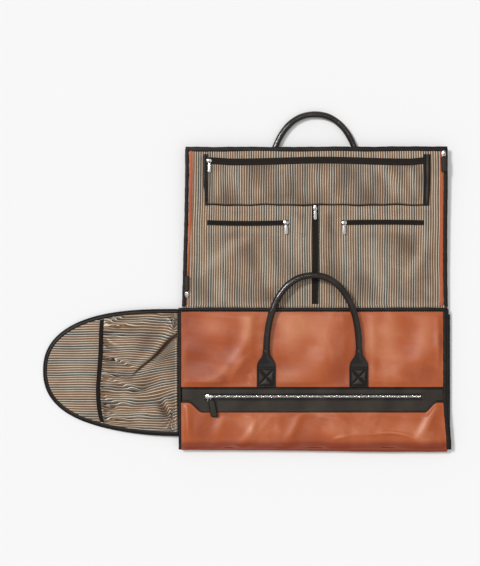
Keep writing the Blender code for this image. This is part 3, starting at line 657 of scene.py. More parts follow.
def ribbed(name, main, pale, pitch, roughness, across_u):
    """Woven tape or elastic: ribs across one direction of its own map, paler in noisy flecks that grow with
    the ribs' height.
    """
    made, tree, shader, where, own = start_material(name, roughness)
    split = node(tree, "ShaderNodeSeparateXYZ")
    tree.links.new(own, split.inputs[0])
    first, second = (split.outputs[0], split.outputs[1]) if across_u else (split.outputs[1], split.outputs[0])
    ribs = maths(tree, "SINE", times(tree, first, 2 * math.pi / pitch), 0.0)
    cross = maths(tree, "SINE", times(tree, second, 2 * math.pi / (pitch * 0.6)), 0.0)
    pale_fleck = noise(tree, where, 220.0, 3.0, 0.6)
    share = times(tree, plus(tree, ribs, 1.0), times(tree, pale_fleck, 0.45))
    tone = mixed(tree, maths(tree, "MINIMUM", share, 1.0), main, pale)
    tree.links.new(tone, shader.inputs["Base Color"])
    height = plus(tree, ribs, times(tree, cross, 0.4))
    shader.inputs["Specular IOR Level"].default_value = 0.25
    bump(tree, shader, height, 0.6, pitch * 0.12)
    return made


def metal(name, main):
    """Polished metal with faint brushing, hand marks and small dents."""
    made, tree, shader, where, _ = start_material(name, 0.16, 1.0)
    marks = noise(tree, where, 420.0, 4.0, 0.6)
    brushed = node(tree, "ShaderNodeMapping")
    brushed.inputs["Scale"].default_value = (900.0, 120.0, 900.0)
    tree.links.new(where, brushed.inputs["Vector"])
    lines = noise(tree, brushed.outputs[0], 1.0, 2.0, 0.5)
    tone = ramp(tree, marks, [(0.3, tuple(0.78 * c for c in main)), (0.62, main)])
    tree.links.new(tone, shader.inputs["Base Color"])
    tree.links.new(plus(tree, times(tree, lines, 0.16), 0.10), shader.inputs["Roughness"])
    bump(tree, shader, plus(tree, marks, lines), 0.12, 0.0002)
    return made


def fibre_board(name):
    """Pressed board: flecks in a brown grey."""
    made, tree, shader, where, _ = start_material(name, 0.85)
    flecks = noise(tree, where, 380.0, 5.0, 0.7)
    tone = ramp(tree, flecks,
                [(0.3, (0.05, 0.04, 0.033)), (0.55, (0.11, 0.09, 0.07)), (0.8, (0.2, 0.17, 0.13))])
    tree.links.new(tone, shader.inputs["Base Color"])
    bump(tree, shader, flecks, 0.3, 0.0003)
    return made


def material(name):
    """The named finish, made on first use from the settings."""
    found = bpy.data.materials.get(f"duffel_{name}")
    if found:
        return found
    scene = bpy.context.scene
    skin, cloth, trim = scene.duffel_leather, scene.duffel_cloth, scene.duffel_trim
    full = f"duffel_{name}"
    black, highlight_and_wear_black = tuple(skin.black), tuple(skin.black_highlight_and_wear)
    if name == "tan":
        return leather(full, tuple(skin.tan), tuple(skin.tan_pale), tuple(skin.tan_deep), (0.34, 0.16), 0.5,
                       skin.grain)
    if name == "black":
        return leather(full, black, highlight_and_wear_black, tuple(0.45 * c for c in black), (0.34, 0.16), 0.26, skin.grain)
    if name == "polished":
        return leather(full, black, highlight_and_wear_black, tuple(0.45 * c for c in black), (0.17, 0.05), 0.62, skin.grain)
    if name == "stripes":
        look = [tuple(c) for c in (cloth.cream, cloth.brown, cloth.slate, cloth.line)]
        return stripes(full, look, cloth.repeat)
    if name == "tape":
        return ribbed(full, tuple(cloth.tape), tuple(2.6 * c for c in cloth.tape), 0.0011, 0.8, False)
    if name == "elastic":
        return ribbed(full, tuple(cloth.elastic), tuple(2.4 * c for c in cloth.elastic), 0.0013, 0.85, True)
    if name == "thread":
        return ribbed(full, tuple(cloth.thread), tuple(1.4 * c for c in cloth.thread), 0.0004, 1.0, False)
    if name == "chrome":
        return metal(full, tuple(trim.chrome))
    if name == "board":
        return fibre_board(full)
    raise RuntimeError(f"no finish is called {name}")


# ---- pieces -----------------------------------------------------------------------------------------
def put(obj, body, slot, *nodes):
    """The piece rides on a body and stands for CAD nodes, which it hides. The slot is not used."""
    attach(obj, body)
    if nodes:
        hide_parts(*nodes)
    return obj


def bent(obj, first, second, start, end, slot, *nodes):
    """The piece's placement is baked into its mesh and it stands for CAD nodes, which it hides. The two
    bodies, start, end and slot are not used.
    """
    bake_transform(obj)
    if nodes:
        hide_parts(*nodes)
    return obj


def grid(xs, ys):
    """Two arrays over the grid of these places, one row for each y."""
    return np.meshgrid(xs, ys, indexing="xy")


def cloth_sheet(obj):
    """Return the sheet unchanged."""
    return obj


def cover(name, panel, node_name, body, look, seed, lengths, counts=(60, 40)):
    """A flat skin or lining over the box of its node, with low slow waves on its upper face."""
    low, high = panel.box(node_name)
    x, y = grid(spread(low[0], high[0], counts[0]), spread(low[1], high[1], counts[1]))
    top = high[2] - 0.0001 + waves(x, y, seed, lengths, 0.0001)
    sheet = slab(name, panel, x, y, top, high[2] - low[2], material(look))
    return put(sheet, body, {"tan": "tan_leather", "stripes": "striped_lining"}[look], node_name)


def straight(low, high, fixed, along, count=90, wobble=0.0, seed=1):
    """Path along x or y at fixed values of the other two lengths, with a slow sideways wobble."""
    t = np.linspace(low, high, count)
    path = np.zeros((count, 3))
    other = 1 - along
    path[:, along] = t
    path[:, other] = fixed[0] + waves(t, 0 * t, seed, (0.19, 0.11, 0.06), wobble)
    path[:, 2] = fixed[1]
    return path


def binding(name, panel, path, width, height, body, seed, *nodes):
    """A rolled leather edge: a rounded profile that swells and pinches a little along its path."""
    run = np.linspace(0, 1, len(path))
    swell = 1 + 0.035 * np.sin(run * 61 + seed) + 0.025 * np.sin(run * 143 + 2 * seed)
    obj = carried(name, panel, path, UP, rounded(width, height, 18, 2.9),
                  material("black"), scale=swell)
    return put(obj, body, "black_leather", *nodes)


def build_bottom():
    """Outer skin, board, lining, side bindings and the strips that join the other panels."""
    cover("bottom_skin", BOTTOM, "base_outer", "base", "tan", 3, (0.2, 0.12, 0.07))
    frame["nodes"]["base_board"].data.materials.clear()
    frame["nodes"]["base_board"].data.materials.append(material("board"))

    low, high = BOTTOM.box("base_lining")
    lining = cover("bottom_lining", BOTTOM, "base_lining", "base", "stripes", 5, (0.15, 0.09, 0.05))
    cloth_sheet(lining)

    under = BOTTOM.box("base_outer")[0][2]
    height = high[2] - under + 0.0004
    for side, word in ((-1, "left"), (1, "right")):
        edge = side * (high[0] - 0.0022)
        path = straight(low[1] + 0.003, high[1], (edge, (high[2] + under) / 2), 1)
        binding(f"bottom_{word}_binding", BOTTOM, path, 0.0066, height, "base", side)
    build_hinge_strips(high)


def build_hinge_strips(high):
    """Leather and lining that carry on across the folds of the end and back panels."""
    left_hinge = joint_point("left_end_fold")[0] - BOTTOM.origin[0]
    ys = spread(BOTTOM.box("left_end_lining")[0][1] - 0.004, BOTTOM.box("left_end_lining")[1][1] - 0.002, 60)
    x, y = grid(spread(left_hinge - 0.0060, -high[0] + 0.0030, 14), ys)
    top = high[2] + 0.0002 - 0.0006 * bell(x - left_hinge, 0.0016) + 0 * y
    strip = slab("left_hinge_strip", BOTTOM, x, y, top, 0.0020, material("black"))
    middle = (ys[0] + ys[-1]) / 2
    bent(strip, "base", "left_end", BOTTOM.place(np.array([left_hinge + 0.0045, middle, high[2]])),
         BOTTOM.place(np.array([left_hinge - 0.0045, middle, high[2]])), "black_leather")

    hinge = joint_point("right_end_fold")
    hinge_x, hinge_z = hinge[0] - BOTTOM.origin[0], hinge[2]
    bow = 0.0033
    turn = np.linspace(math.pi / 2, -math.pi / 2, 17)
    root_x = hinge_x - ROOT_TUCK
    px = np.concatenate([[high[0] - 0.003, high[0], high[0] + 0.003], root_x + 0.3 * bow * np.cos(turn),
                         [root_x - 0.004, root_x - 0.008]])
    pz = np.concatenate([np.full(3, hinge_z + bow), hinge_z + bow * np.sin(turn), np.full(2, hinge_z - bow)])
    nx = np.concatenate([np.zeros(3), np.cos(turn), np.zeros(2)])
    nz = np.concatenate([np.ones(3), np.sin(turn), -np.ones(2)])
    cols = ys[None, :] * np.ones((len(px), 1))
    mid = np.stack([px[:, None] + 0 * cols, cols, pz[:, None] + 0 * cols], -1)
    normal = np.stack([nx[:, None] + 0 * cols, 0 * cols, nz[:, None] + 0 * cols], -1)
    run = run_of(np.stack([px, pz], -1))
    uv = np.stack([cols, run[:, None] + 0 * cols], -1)
    strip = closed_sheet("right_hinge_strip", BOTTOM, mid, normal, 0.0018, material("black"), uv)
    bent(strip, "base", "right_end", hinge + (0, 0, bow), hinge - (0, 0, bow), "black_leather")

    hinge = joint_point("back_panel_fold")
    half = high[0] - 0.006
    x, y = grid(spread(-half, half, 70), spread(hinge[1] - 0.0042, hinge[1] + 0.0040, 10))
    top = hinge[2] + 0.00025 - 0.0005 * bell(y - hinge[1], 0.0010) + 0 * x
    strip = slab("back_hinge_lining", BOTTOM, x, y, top, 0.0009, material("stripes"), radius=0.0004)
    bent(strip, "base", "back_panel", hinge - (0, 0.0028, 0), hinge + (0, 0.0028, 0), "striped_lining")
    cloth_sheet(strip)
    outer_low, outer_high = BOTTOM.box("base_outer")
    back_low, back_high = BACK.box("back_outer")
    y0, z0 = outer_high[1] - 0.004, (outer_low[2] + outer_high[2]) / 2
    y1, z1 = hinge[1] + 0.005, hinge[2] + (back_low[2] + back_high[2]) / 2
    x, y = grid(spread(-half, half, 70), spread(y0, y1, 14))
    top = z0 + (z1 - z0) * smooth((y - y0 - 0.0025) / (y1 - y0 - 0.005)) + 0.0006
    strip = slab("back_hinge_skin", BOTTOM, x, y, top, 0.0016, material("tan"))
    bent(strip, "base", "back_panel", hinge - (0, 0.0020, 0), hinge + (0, 0.0020, 0), "tan_leather")


def build_front_fold():
    """The skin and the lining that roll round the fold between the bottom and the front panel."""
    hinge = joint_point("front_panel_fold")
    low, high = BOTTOM.box("base_outer")
    skin_low, skin_high = FRONT.box("front_lower")
    z0, z1 = (low[2] + high[2]) / 2, hinge[2] + (skin_low[2] + skin_high[2]) / 2
    lining_z0 = BOTTOM.box("base_lining")[1][2] - 0.0006
    lining_z1 = hinge[2] + FRONT.box("front_lining")[0][2] + 0.0006
    rolls = (("fold_skin", z0, z1, 0.0019, 1.15, 0.0020, "tan", "tan_leather", 0.0045),
             ("fold_lining", lining_z0, lining_z1, 0.0011, 1.0, 0.0, "stripes", "striped_lining", 0.0045))
    for name, za, zb, thick, flat, ruffle, look, slot, tail in rolls:
        radius = (zb - za) / 2
        centre = (za + zb) / 2
        turn = np.linspace(-math.pi / 2, math.pi / 2, 21)
        py = np.concatenate([[tail, tail / 2], -flat * radius * np.cos(turn), [tail / 2, tail]]) + hinge[1]
        pz = np.concatenate([[za, za], centre + radius * np.sin(turn), [zb, zb]])
        ny = np.concatenate([[0, 0], -np.cos(turn), [0, 0]])
        nz = np.concatenate([[-1, -1], np.sin(turn), [1, 1]])
        half = skin_high[0] + 0.002
        xs = spread(-half, half, 150)
        cols = xs[None, :] * np.ones((len(py), 1))
        bulge = np.concatenate([[0, 0], np.cos(turn), [0, 0]])[:, None]
        tuck = radius * 0.75 * smooth(0.5 - cols / (2 * half)) if ruffle else 0.0
        wave = bulge * (waves(cols, 0 * cols, 8, (0.3, 0.13, 0.07, 0.04), ruffle) - 0.3 * ruffle - tuck)
        mid = np.stack([cols + front_slack(cols, 0 * cols)[0], py[:, None] - wave, pz[:, None] + 0 * cols],
                       -1)
        normal = np.stack([0 * cols, ny[:, None] + 0 * cols, nz[:, None] + 0 * cols], -1)
        run = run_of(np.stack([py, pz], -1))
        uv = np.stack([cols, run[:, None] + 0 * cols], -1)
        # The rolled skin is painted deep tan all over: painted shade where it turns under at the fold; the
        # lining roll stays plain.
        wear = np.full(cols.shape, -1.0 if ruffle else 0.0)
        obj = closed_sheet(name, BOTTOM, mid, normal, thick, material(look), uv, wear)
        bent(obj, "base", "front_panel", (hinge[0], hinge[1], za), (hinge[0], hinge[1], zb), slot)
        if name == "fold_lining":
            cloth_sheet(obj)


UPPER_CREASES = (
    ((-0.132, 0.290), (-0.192, 0.156), 0.0130, 0.85, 0.014),
    ((-0.176, 0.170), (-0.246, 0.133), 0.0100, 0.60, 0.004),
    ((-0.128, 0.208), (-0.180, 0.146), 0.0080, 0.65, -0.004),
    ((-0.138, 0.160), (-0.128, 0.134), 0.0060, 0.45, 0.0),
    ((-0.090, 0.292), (-0.078, 0.140), 0.0150, 0.55, -0.006),
    ((-0.046, 0.290), (-0.052, 0.170), 0.0260, 0.80, 0.0),
    ((0.016, 0.292), (0.006, 0.130), 0.0220, 0.40, 0.004),
    ((0.111, 0.292), (0.120, 0.134), 0.0100, 0.60, 0.004),
    ((0.160, 0.288), (0.168, 0.180), 0.0180, 0.60, -0.008),
    ((0.232, 0.288), (0.214, 0.150), 0.0170, 0.60, 0.006),
    ((0.262, 0.280), (0.268, 0.140), 0.0070, 0.35, 0.0),
)
LOWER_CREASES = (
    ((-0.104, 0.086), (-0.160, 0.006), 0.0085, 0.95, 0.004),
    ((-0.078, 0.086), (-0.136, 0.010), 0.0055, 0.55, -0.002),
    ((-0.186, 0.086), (-0.208, 0.020), 0.0100, 0.50, 0.0),
    ((-0.028, 0.084), (-0.066, 0.008), 0.0090, 0.60, 0.003),
    ((0.040, 0.082), (0.030, 0.020), 0.0120, 0.40, 0.0),
    ((0.034, 0.020), (0.132, 0.032), 0.0040, 0.75, 0.006),
    ((0.120, 0.032), (0.216, 0.022), 0.0040, 0.75, 0.008),
    ((0.262, 0.108), (0.208, 0.012), 0.0090, 1.10, 0.004),
    ((-0.268, 0.100), (-0.262, 0.010), 0.0080, 0.70, 0.0),
    ((0.090, 0.078), (0.150, 0.030), 0.0100, 0.35, 0.0),
)


# Patches of painted highlight (positive strength) and painted shade (negative strength) on the front skins:
# centre, size, strength.
UPPER_PAINTED_LIGHT = (
    ((-0.219, 0.269), (0.030, 0.030), 0.40), ((-0.146, 0.266), (0.014, 0.034), 0.60),
    ((-0.042, 0.268), (0.035, 0.038), 0.75), ((0.011, 0.257), (0.030, 0.050), 0.35),
    ((-0.061, 0.154), (0.030, 0.020), 0.40), ((0.157, 0.219), (0.030, 0.070), 0.45),
    ((0.238, 0.257), (0.018, 0.040), 0.40), ((0.118, 0.250), (0.012, 0.050), 0.45),
    ((-0.249, 0.200), (0.034, 0.060), -0.55), ((-0.150, 0.200), (0.018, 0.050), -0.35),
    ((0.050, 0.180), (0.036, 0.060), -0.45), ((0.222, 0.161), (0.040, 0.030), -0.40),
    ((-0.083, 0.238), (0.007, 0.060), -0.40), ((0.086, 0.200), (0.008, 0.060), -0.40),
)
LOWER_PAINTED_LIGHT = (
    ((-0.127, 0.054), (0.034, 0.020), 0.50), ((-0.180, 0.070), (0.020, 0.012), 0.30),
    ((0.184, 0.047), (0.050, 0.015), 0.30), ((0.060, 0.040), (0.040, 0.016), 0.30),
    ((-0.250, 0.050), (0.030, 0.030), -0.40), ((-0.030, 0.020), (0.080, 0.012), -0.30),
    ((0.020, 0.070), (0.040, 0.014), -0.25), ((0.250, 0.040), (0.016, 0.030), -0.35),
)


def creased(x, y, creases, seed, painted_lights=()):
    """Relief of a skin and its painted light: ridges and slow waves, with painted highlight on the ridges and
    painted shade in the hollows, plus patches of painted highlight and shade.
    """
    height = bpy.context.scene.duffel_leather.crease_height
    ridges = sum(crease(x, y, *line) for line in creases)
    slow = waves(x, y, seed, (0.17, 0.11, 0.07, 0.045), 0.55)
    fine = waves(x, y, seed + 1, (0.03, 0.02, 0.013), 0.035)
    relief = height * (0.95 * ridges + slow * 2.4 + fine)
    painted_light_patches = sum(part * np.exp(-((x - at[0]) / size[0]) ** 2 - ((y - at[1]) / size[1]) ** 2)
               for at, size, part in painted_lights)
    return relief, np.clip(ridges * 0.50 + slow * 0.45 + painted_light_patches - 0.08, -0.7, 0.7)


def build_front_skins():
    """Two tan skins with soft creases; they lie down along their edges and under the handle's legs."""
    patches = [FRONT.box(f"front_patch_{word}") for word in ("left", "right")]
    for name, node_name, creases, painted_lights, seed in (
            ("front_upper_skin", "front_upper", UPPER_CREASES, UPPER_PAINTED_LIGHT, 21),
            ("front_lower_skin", "front_lower", LOWER_CREASES, LOWER_PAINTED_LIGHT, 34)):
        low, high = FRONT.box(node_name)
        xs = spread(low[0] - 0.0030, high[0] + 0.0010, 300)
        if node_name == "front_upper":
            x, y = grid(xs, spread(low[1], high[1], 110))
            y_low, y_high = low[1], high[1] + 0 * x
        else:
            share = spread(0.0, 1.0, 70, edge=0.012)
            x, part = grid(xs, share)
            y_low, y_high = low[1] - 0.0005, band_edge(x) - 0.0002
            y = y_low + part * (y_high - y_low)
        relief, wear = creased(x, y, creases, seed, painted_lights)
        relief = relief - relief.min() * 0.35
        calm = smooth((x - low[0]) / 0.012) * smooth((high[0] - x) / 0.012)
        calm = calm * smooth((y_high - y) / 0.012) * smooth((y - y_low) / (0.012 if y_low > 0.05 else 0.006))
        for patch_low, patch_high in patches:
            middle = (patch_low[0] + patch_high[0]) / 2
            leg = smooth((np.abs(x - middle) - 0.014) / 0.020)
            calm = calm * (0.25 + 0.75 * leg)
        top = high[2] - 0.0002 + relief * calm
        wear = wear * (0.3 + 0.7 * calm)
        # Painted shade along the lower skin's edge where it turns over the fold.
        if node_name == "front_lower":
            wear = wear - 1.0 * (1 - smooth((y - 0.008) / 0.014))
        skin = slab(name, FRONT, x, y, top, high[2] - low[2], material("tan"), wear=wear)
        put(skin, "front_panel", "tan_leather", node_name)


def band_edge(x):
    """The band's lower edge: shallow at both ends, an S-shaped step, deep in the middle."""
    low, high = FRONT.box("front_band")
    end_y = FRONT.box("front_lower")[1][1]
    step = smooth((high[0] - STEP_END - np.abs(x)) / STEP_RUN)
    return end_y + (low[1] - end_y) * step


def build_band():
    """The dark band with its zip let into it: the grid dips along the zip's slot."""
    low, high = FRONT.box("front_band")
    tape_low, tape_high = FRONT.box("front_zip_tape")
    teeth_low, teeth_high = FRONT.box("front_zip_teeth")
    half_slot = tape_high[0] + 0.0003
    zip_y = (tape_low[1] + tape_high[1]) / 2
    slot_low, slot_high = zip_y - 0.0042, zip_y + 0.0042
    corners = [side * (half_slot + off) for side in (-1, 1) for off in (-0.0004, 0.0004, 0.0012)]
    xs = spread(low[0], high[0], 170, inner=corners)
    parts = np.concatenate([spread(0.0, 1.0, 10, edge=0.05), 1 + spread(0.0, 1.0, 4, edge=0.08)[1:],
                            2 + spread(0.0, 1.0, 10, edge=0.07)[1:]])
    x, part = grid(xs, parts)
    edge = band_edge(x)
    y = np.where(part <= 1, edge + part * (slot_low - edge),
                 np.where(part <= 2, slot_low + (part - 1) * (slot_high - slot_low),
                          slot_high + (part - 2) * (high[1] - slot_high)))
    in_slot = (np.abs(x) < half_slot) & (y > slot_low + 0.0003) & (y < slot_high - 0.0003)
    lip = bell(np.abs(y - zip_y) - 0.0056, 0.0012) * (np.abs(x) < half_slot + 0.002)
    hem = bell(np.minimum(y - edge, high[1] - y) - 0.0016, 0.0011)
    seam = bell(np.minimum(y - edge, high[1] - y) - 0.0042, 0.0007)
    relief = 0.0005 * lip + 0.0005 * hem - 0.0004 * seam
    relief = relief + waves(x, y, 12, (0.14, 0.08, 0.05), 0.0007)
    top = high[2] + 0.0006 + relief - 0.0022 * in_slot
    # The band is a lighter worn black with random patches, darker along its hems and round the slot's lip,
    # with painted shade in the stitch grooves.
    wear = np.clip(0.75 - 0.95 * hem - 0.95 * lip - 1.0 * seam, -0.6, 0.8)
    wear = wear + waves(x, y, 13, (0.09, 0.05, 0.03, 0.016), 0.7)
    band = slab("front_band_leather", FRONT, x, y, top, 0.0026 - 0.0014 * in_slot,
                material("black"), wear=wear)
    put(band, "front_panel", "black_leather", "front_band")
    xs = np.linspace(low[0] + 0.004, high[0] - 0.004, 400)
    for name, ys in (("band_upper_stitches", high[1] - 0.0042 + 0 * xs),
                     ("band_lower_stitches", band_edge(xs) + 0.0042)):
        path = np.stack([xs, ys, 0 * xs + high[2] + 0.0005], -1)
        stitches(name, FRONT, path, "front_panel")
    ring_x, ring_y = half_slot + 0.0060, 0.0074
    t = np.linspace(0, 2 * math.pi, 700)
    c, s = np.cos(t), np.sin(t)
    ring = np.stack([signed_power(c, 0.02) * ring_x, zip_y + signed_power(s, 0.12) * ring_y,
                     0 * t + high[2] + 0.0007], -1)
    stitches("band_zip_stitches", FRONT, ring, "front_panel")

    xs = spread(tape_low[0], tape_high[0], 120)
    x, y = grid(xs, spread(tape_low[1], tape_high[1], 8, edge=0.0005))
    tape = slab("front_zip_cloth", FRONT, x, y, tape_high[2] - 0.0002 + 0 * x, 0.0010, material("tape"),
                radius=0.0004)
    put(tape, "front_panel", "zip_tape", "front_zip_tape")
    path = straight(teeth_low[0], teeth_high[0], (zip_y, tape_high[2] - 0.0002), 0, 200)
    tooth_rows("front_zip_chain", FRONT, path, "front_panel", "chrome", 0.0054,
               teeth_high[2] - tape_high[2] + 0.0006,
               "front_zip_teeth")


def tooth_rows(name, panel, path, body, look, width, height, *nodes):
    """Two rows of small chamfered teeth that mesh along a path, half a pitch apart."""
    pitch = bpy.context.scene.duffel_trim.tooth_pitch
    all_points, all_faces = [], []
    offset = 0
    for side in (-1, 1):
        places, along = along_path(path, pitch, start=pitch * (side + 1) / 4, end=pitch * (1 - side) / 4)
        along = along / np.linalg.norm(along, axis=1)[:, None]
        across = np.cross(UP, along)
        across /= np.linalg.norm(across, axis=1)[:, None]
        shape, faces = block(pitch * 0.62, width * 0.62, height)
        centre = places + across * side * width * 0.19
        points = (centre[:, None, :] + along[:, None, :] * shape[None, :, :1]
                  + across[:, None, :] * shape[None, :, 1:2] + UP * shape[None, :, 2:3])
        all_points.append(points.reshape(-1, 3))
        all_faces.append((faces[None] + (offset + np.arange(len(places)) * len(shape))[:, None,
                                                                                       None]).reshape(-1, 4))
        offset += len(places) * len(shape)
    points = np.concatenate(all_points)
    obj = new_piece(name, panel.place(points), np.concatenate(all_faces), material(look), points[:, :2])
    return put(obj, body, "chrome" if look == "chrome" else "zip_tape", *nodes)


def build_front_linings():
    """The lining on the front panel's inner face and the bag of its zipped pocket."""
    for name, node_name, seed, lengths, counts, below in (
            ("front_lining_cloth", "front_lining", 15, (0.15, 0.09, 0.05), (60, 40), "bottom_lining"),
            ("front_pocket_cloth", "front_pocket_bag", 17, (0.1, 0.06), (40, 16), "front_lining_cloth")):
        low, high = FRONT.box(node_name)
        sheet = cover(name, FRONT, node_name, "front_panel", "stripes", seed, lengths, counts)
        cloth_sheet(sheet)


def build_front_bindings():
    """Rolled edges on the front panel's two sides and top."""
    for seed, word in ((3, "left"), (5, "right")):
        low, high = FRONT.box(f"front_{word}_binding")
        middle = (low + high) / 2
        width = {"left": 0.0062, "right": 0.0118}[word]
        path = straight(low[1] - 0.001, high[1] + 0.004, (middle[0], middle[2]), 1, wobble=0.0004, seed=seed)
        binding(f"front_{word}_edge", FRONT, path, width, high[2] - low[2], "front_panel", seed,
                f"front_{word}_binding")
        side = -1 if word == "left" else 1
        row = path + np.array([-side * width * 0.33, 0.0, (high[2] - low[2]) / 2 - 0.0004])
        stitches(f"front_{word}_edge_stitches", FRONT, row, "front_panel")
    low, high = FRONT.box("front_top_binding")
    middle = (low + high) / 2
    path = straight(low[0] + 0.001, high[0] - 0.001, (middle[1] + 0.0004, middle[2] + 0.0003), 0, 140,
                    wobble=0.0009, seed=9)
    binding("front_top_edge", FRONT, path, high[1] - low[1] - 0.0010, high[2] - low[2] + 0.0004,
            "front_panel", 2, "front_top_binding")
    row = path + np.array([0.0, -0.0029, (high[2] - low[2]) / 2 - 0.0002])
    stitches("front_top_edge_stitches", FRONT, row, "front_panel")


# ---- handles ----------------------------------------------------------------------------------------
def patch_relief(x, y, half_x, half_y, height):
    """Four stitched pillows: raised between two diagonals and a square of stitches, with painted highlight on
    the pillows and painted shade in the stitched grooves.
    """
    inner_x, inner_y = half_x - PATCH_SEAM, half_y - PATCH_SEAM
    to_square = np.minimum(inner_x - np.abs(x), inner_y - np.abs(y))
    to_cross = np.minimum(np.abs(x / inner_x - y / inner_y),
                          np.abs(x / inner_x + y / inner_y)) * inner_x * 0.7
    inside = to_square > 0
    near = np.where(inside, np.minimum(to_square, to_cross), np.abs(to_square))
    pillow = 1 - bell(near, 0.0034)
    pillow = np.where(inside, pillow, 0.45 * (1 - bell(near, 0.0011)))
    return height * pillow, np.clip(1.7 * pillow - 0.7, -0.7, 1.0)


def build_patch(name, panel, node_name, body, face_up):
    """A leather patch with its square and cross of stitches, for the handle's foot."""
    low, high = panel.box(node_name)
    middle = (low + high) / 2
    half_x, half_y = (high[0] - low[0]) / 2, PATCH_HALF_LENGTH
    centre_y = low[1] + half_y
    x, y = grid(spread(-half_x, half_x, 54, edge=0.0010), spread(-half_y, half_y, 56, edge=0.0010))
    relief, wear = patch_relief(x, y, half_x, half_y, 0.0011)
    if face_up:
        level = high[2] + 0.0002
        face = high[2] - 0.0002 + relief - PATCH_THICKNESS / 2
    else:
        level = low[2] - 0.0002
        face = level - relief + PATCH_THICKNESS / 2
    mid = np.stack([x + middle[0], y + centre_y, face], -1)
    uv = np.stack([x, y], -1)
    patch = closed_sheet(name, panel, mid, UP, PATCH_THICKNESS, material("black"), uv, wear, radius=0.0010)
    put(patch, body, "black_leather", node_name)
    inner = np.array([half_x - PATCH_SEAM, half_y - PATCH_SEAM])
    places, along = [], []
    for line in (((-1, -1), (1, 1)), ((-1, 1), (1, -1)), ((-1, -1), (1, -1)), ((1, -1), (1, 1)),
                 ((1, 1), (-1, 1)), ((-1, 1), (-1, -1))):
        ends = np.full((2, 3), level)
        ends[:, :2] = np.array(line) * inner + (middle[0], centre_y)
        at, way = along_path(ends, 0.0030)
        places.append(at)
        along.append(way)
    shape, faces = lozenge(0.0025, 0.0008, 0.0008)
    places, along = np.concatenate(places), np.concatenate(along)
    up = np.tile(UP, (len(places), 1))
    thread = instances(f"{name}_stitches", panel, places, along, up, shape, faces, material("thread"))
    put(thread, body, "black_leather")


def handle_path(half, reach, root):
    """Middle line of a handle: two short straight legs and a superellipse bow between them."""
    across, up = superellipse(np.linspace(0.0, math.pi, 400), BOW_POWER)
    x, y = -across * half, root + (reach - root) * np.abs(up)
    bow = np.stack([x, y, 0 * x], -1)
    legs = np.linspace(-0.001, root, 4)[:-1]
    left = np.stack([0 * legs - half, legs, 0 * legs], -1)
    right = left[::-1] * np.array([-1, 1, 1])
    dense = np.concatenate([left, bow, right])
    run = run_of(dense)
    return resampled(dense, np.linspace(0, run[-1], 220), run)


def build_tube(name, panel, node_name, body, lift_seed):
    """A rolled leather tube with a seam welt on its inner side and slight unevenness."""
    low, high = panel.box(node_name)
    radius = (high[2] - low[2]) / 2 if node_name == "back_handle" else TUBE_RADIUS
    half = (high[0] - low[0]) / 2 - radius
    path = handle_path(half, high[1] - radius, LEG_LENGTH)
    angle = np.arange(24) * 2 * math.pi / 24
    seam = bell(np.angle(np.exp(1j * (angle - 0.15))), 0.20)
    groove = bell(np.angle(np.exp(1j * (angle - 0.62))), 0.16)
    girth = radius * (0.965 + 0.07 * seam - 0.05 * groove)
    profile = np.stack([np.cos(angle) * girth, np.sin(angle) * girth], -1)
    run = np.linspace(0, 1, len(path))
    uneven = 1 + 0.02 * np.sin(run * 37 + lift_seed) + 0.012 * np.sin(run * 91)
    tube = carried(name, panel, path, UP, profile, material("polished"), scale=uneven)
    put(tube, body, "black_leather", node_name)
    ahead = np.gradient(path, axis=0)
    ahead /= np.linalg.norm(ahead, axis=1)[:, None]
    side = np.cross(ahead, UP)
    row = path + side * radius * 0.80 + np.array([0.0, 0.0, radius * 0.56])
    stitches(f"{name}_stitches", panel, row[8:-8], body)


def flare(name, panel, x_middle, start, end, drop, wide, thin, radius, up_sign=1.0):
    """The leather that gathers from a flat foot to the round tube: a superellipse whose width, height
    and power all change smoothly from the foot to the tube."""
    s = np.linspace(0.0, 1.0, 36)
    y = start + (end - start) * s
    z = drop * (1 - smooth(s / 0.85))
    path = np.stack([0 * y + x_middle, y, z], -1)
    half_w = wide + (radius - wide) * smooth((s - 0.10) / 0.72)
    half_h = thin + (radius - thin) * smooth((s - 0.02) / 0.80)
    power = 3.6 + (2.0 - 3.6) * smooth(s / 0.7)
    across, up = superellipse(ring_angles(28)[None], power[:, None])
    px, py = across * half_w[:, None], up * half_h[:, None]
    fold = bell(px, 0.25 * half_w[:, None]) * (np.sin(math.pi * s) * (1 - s))[:, None] * 0.0026
    py = py + up_sign * fold * (np.sign(py) == up_sign)
    profile = np.stack([px, py], -1)
    return carried(name, panel, path, UP, profile, material("polished"))


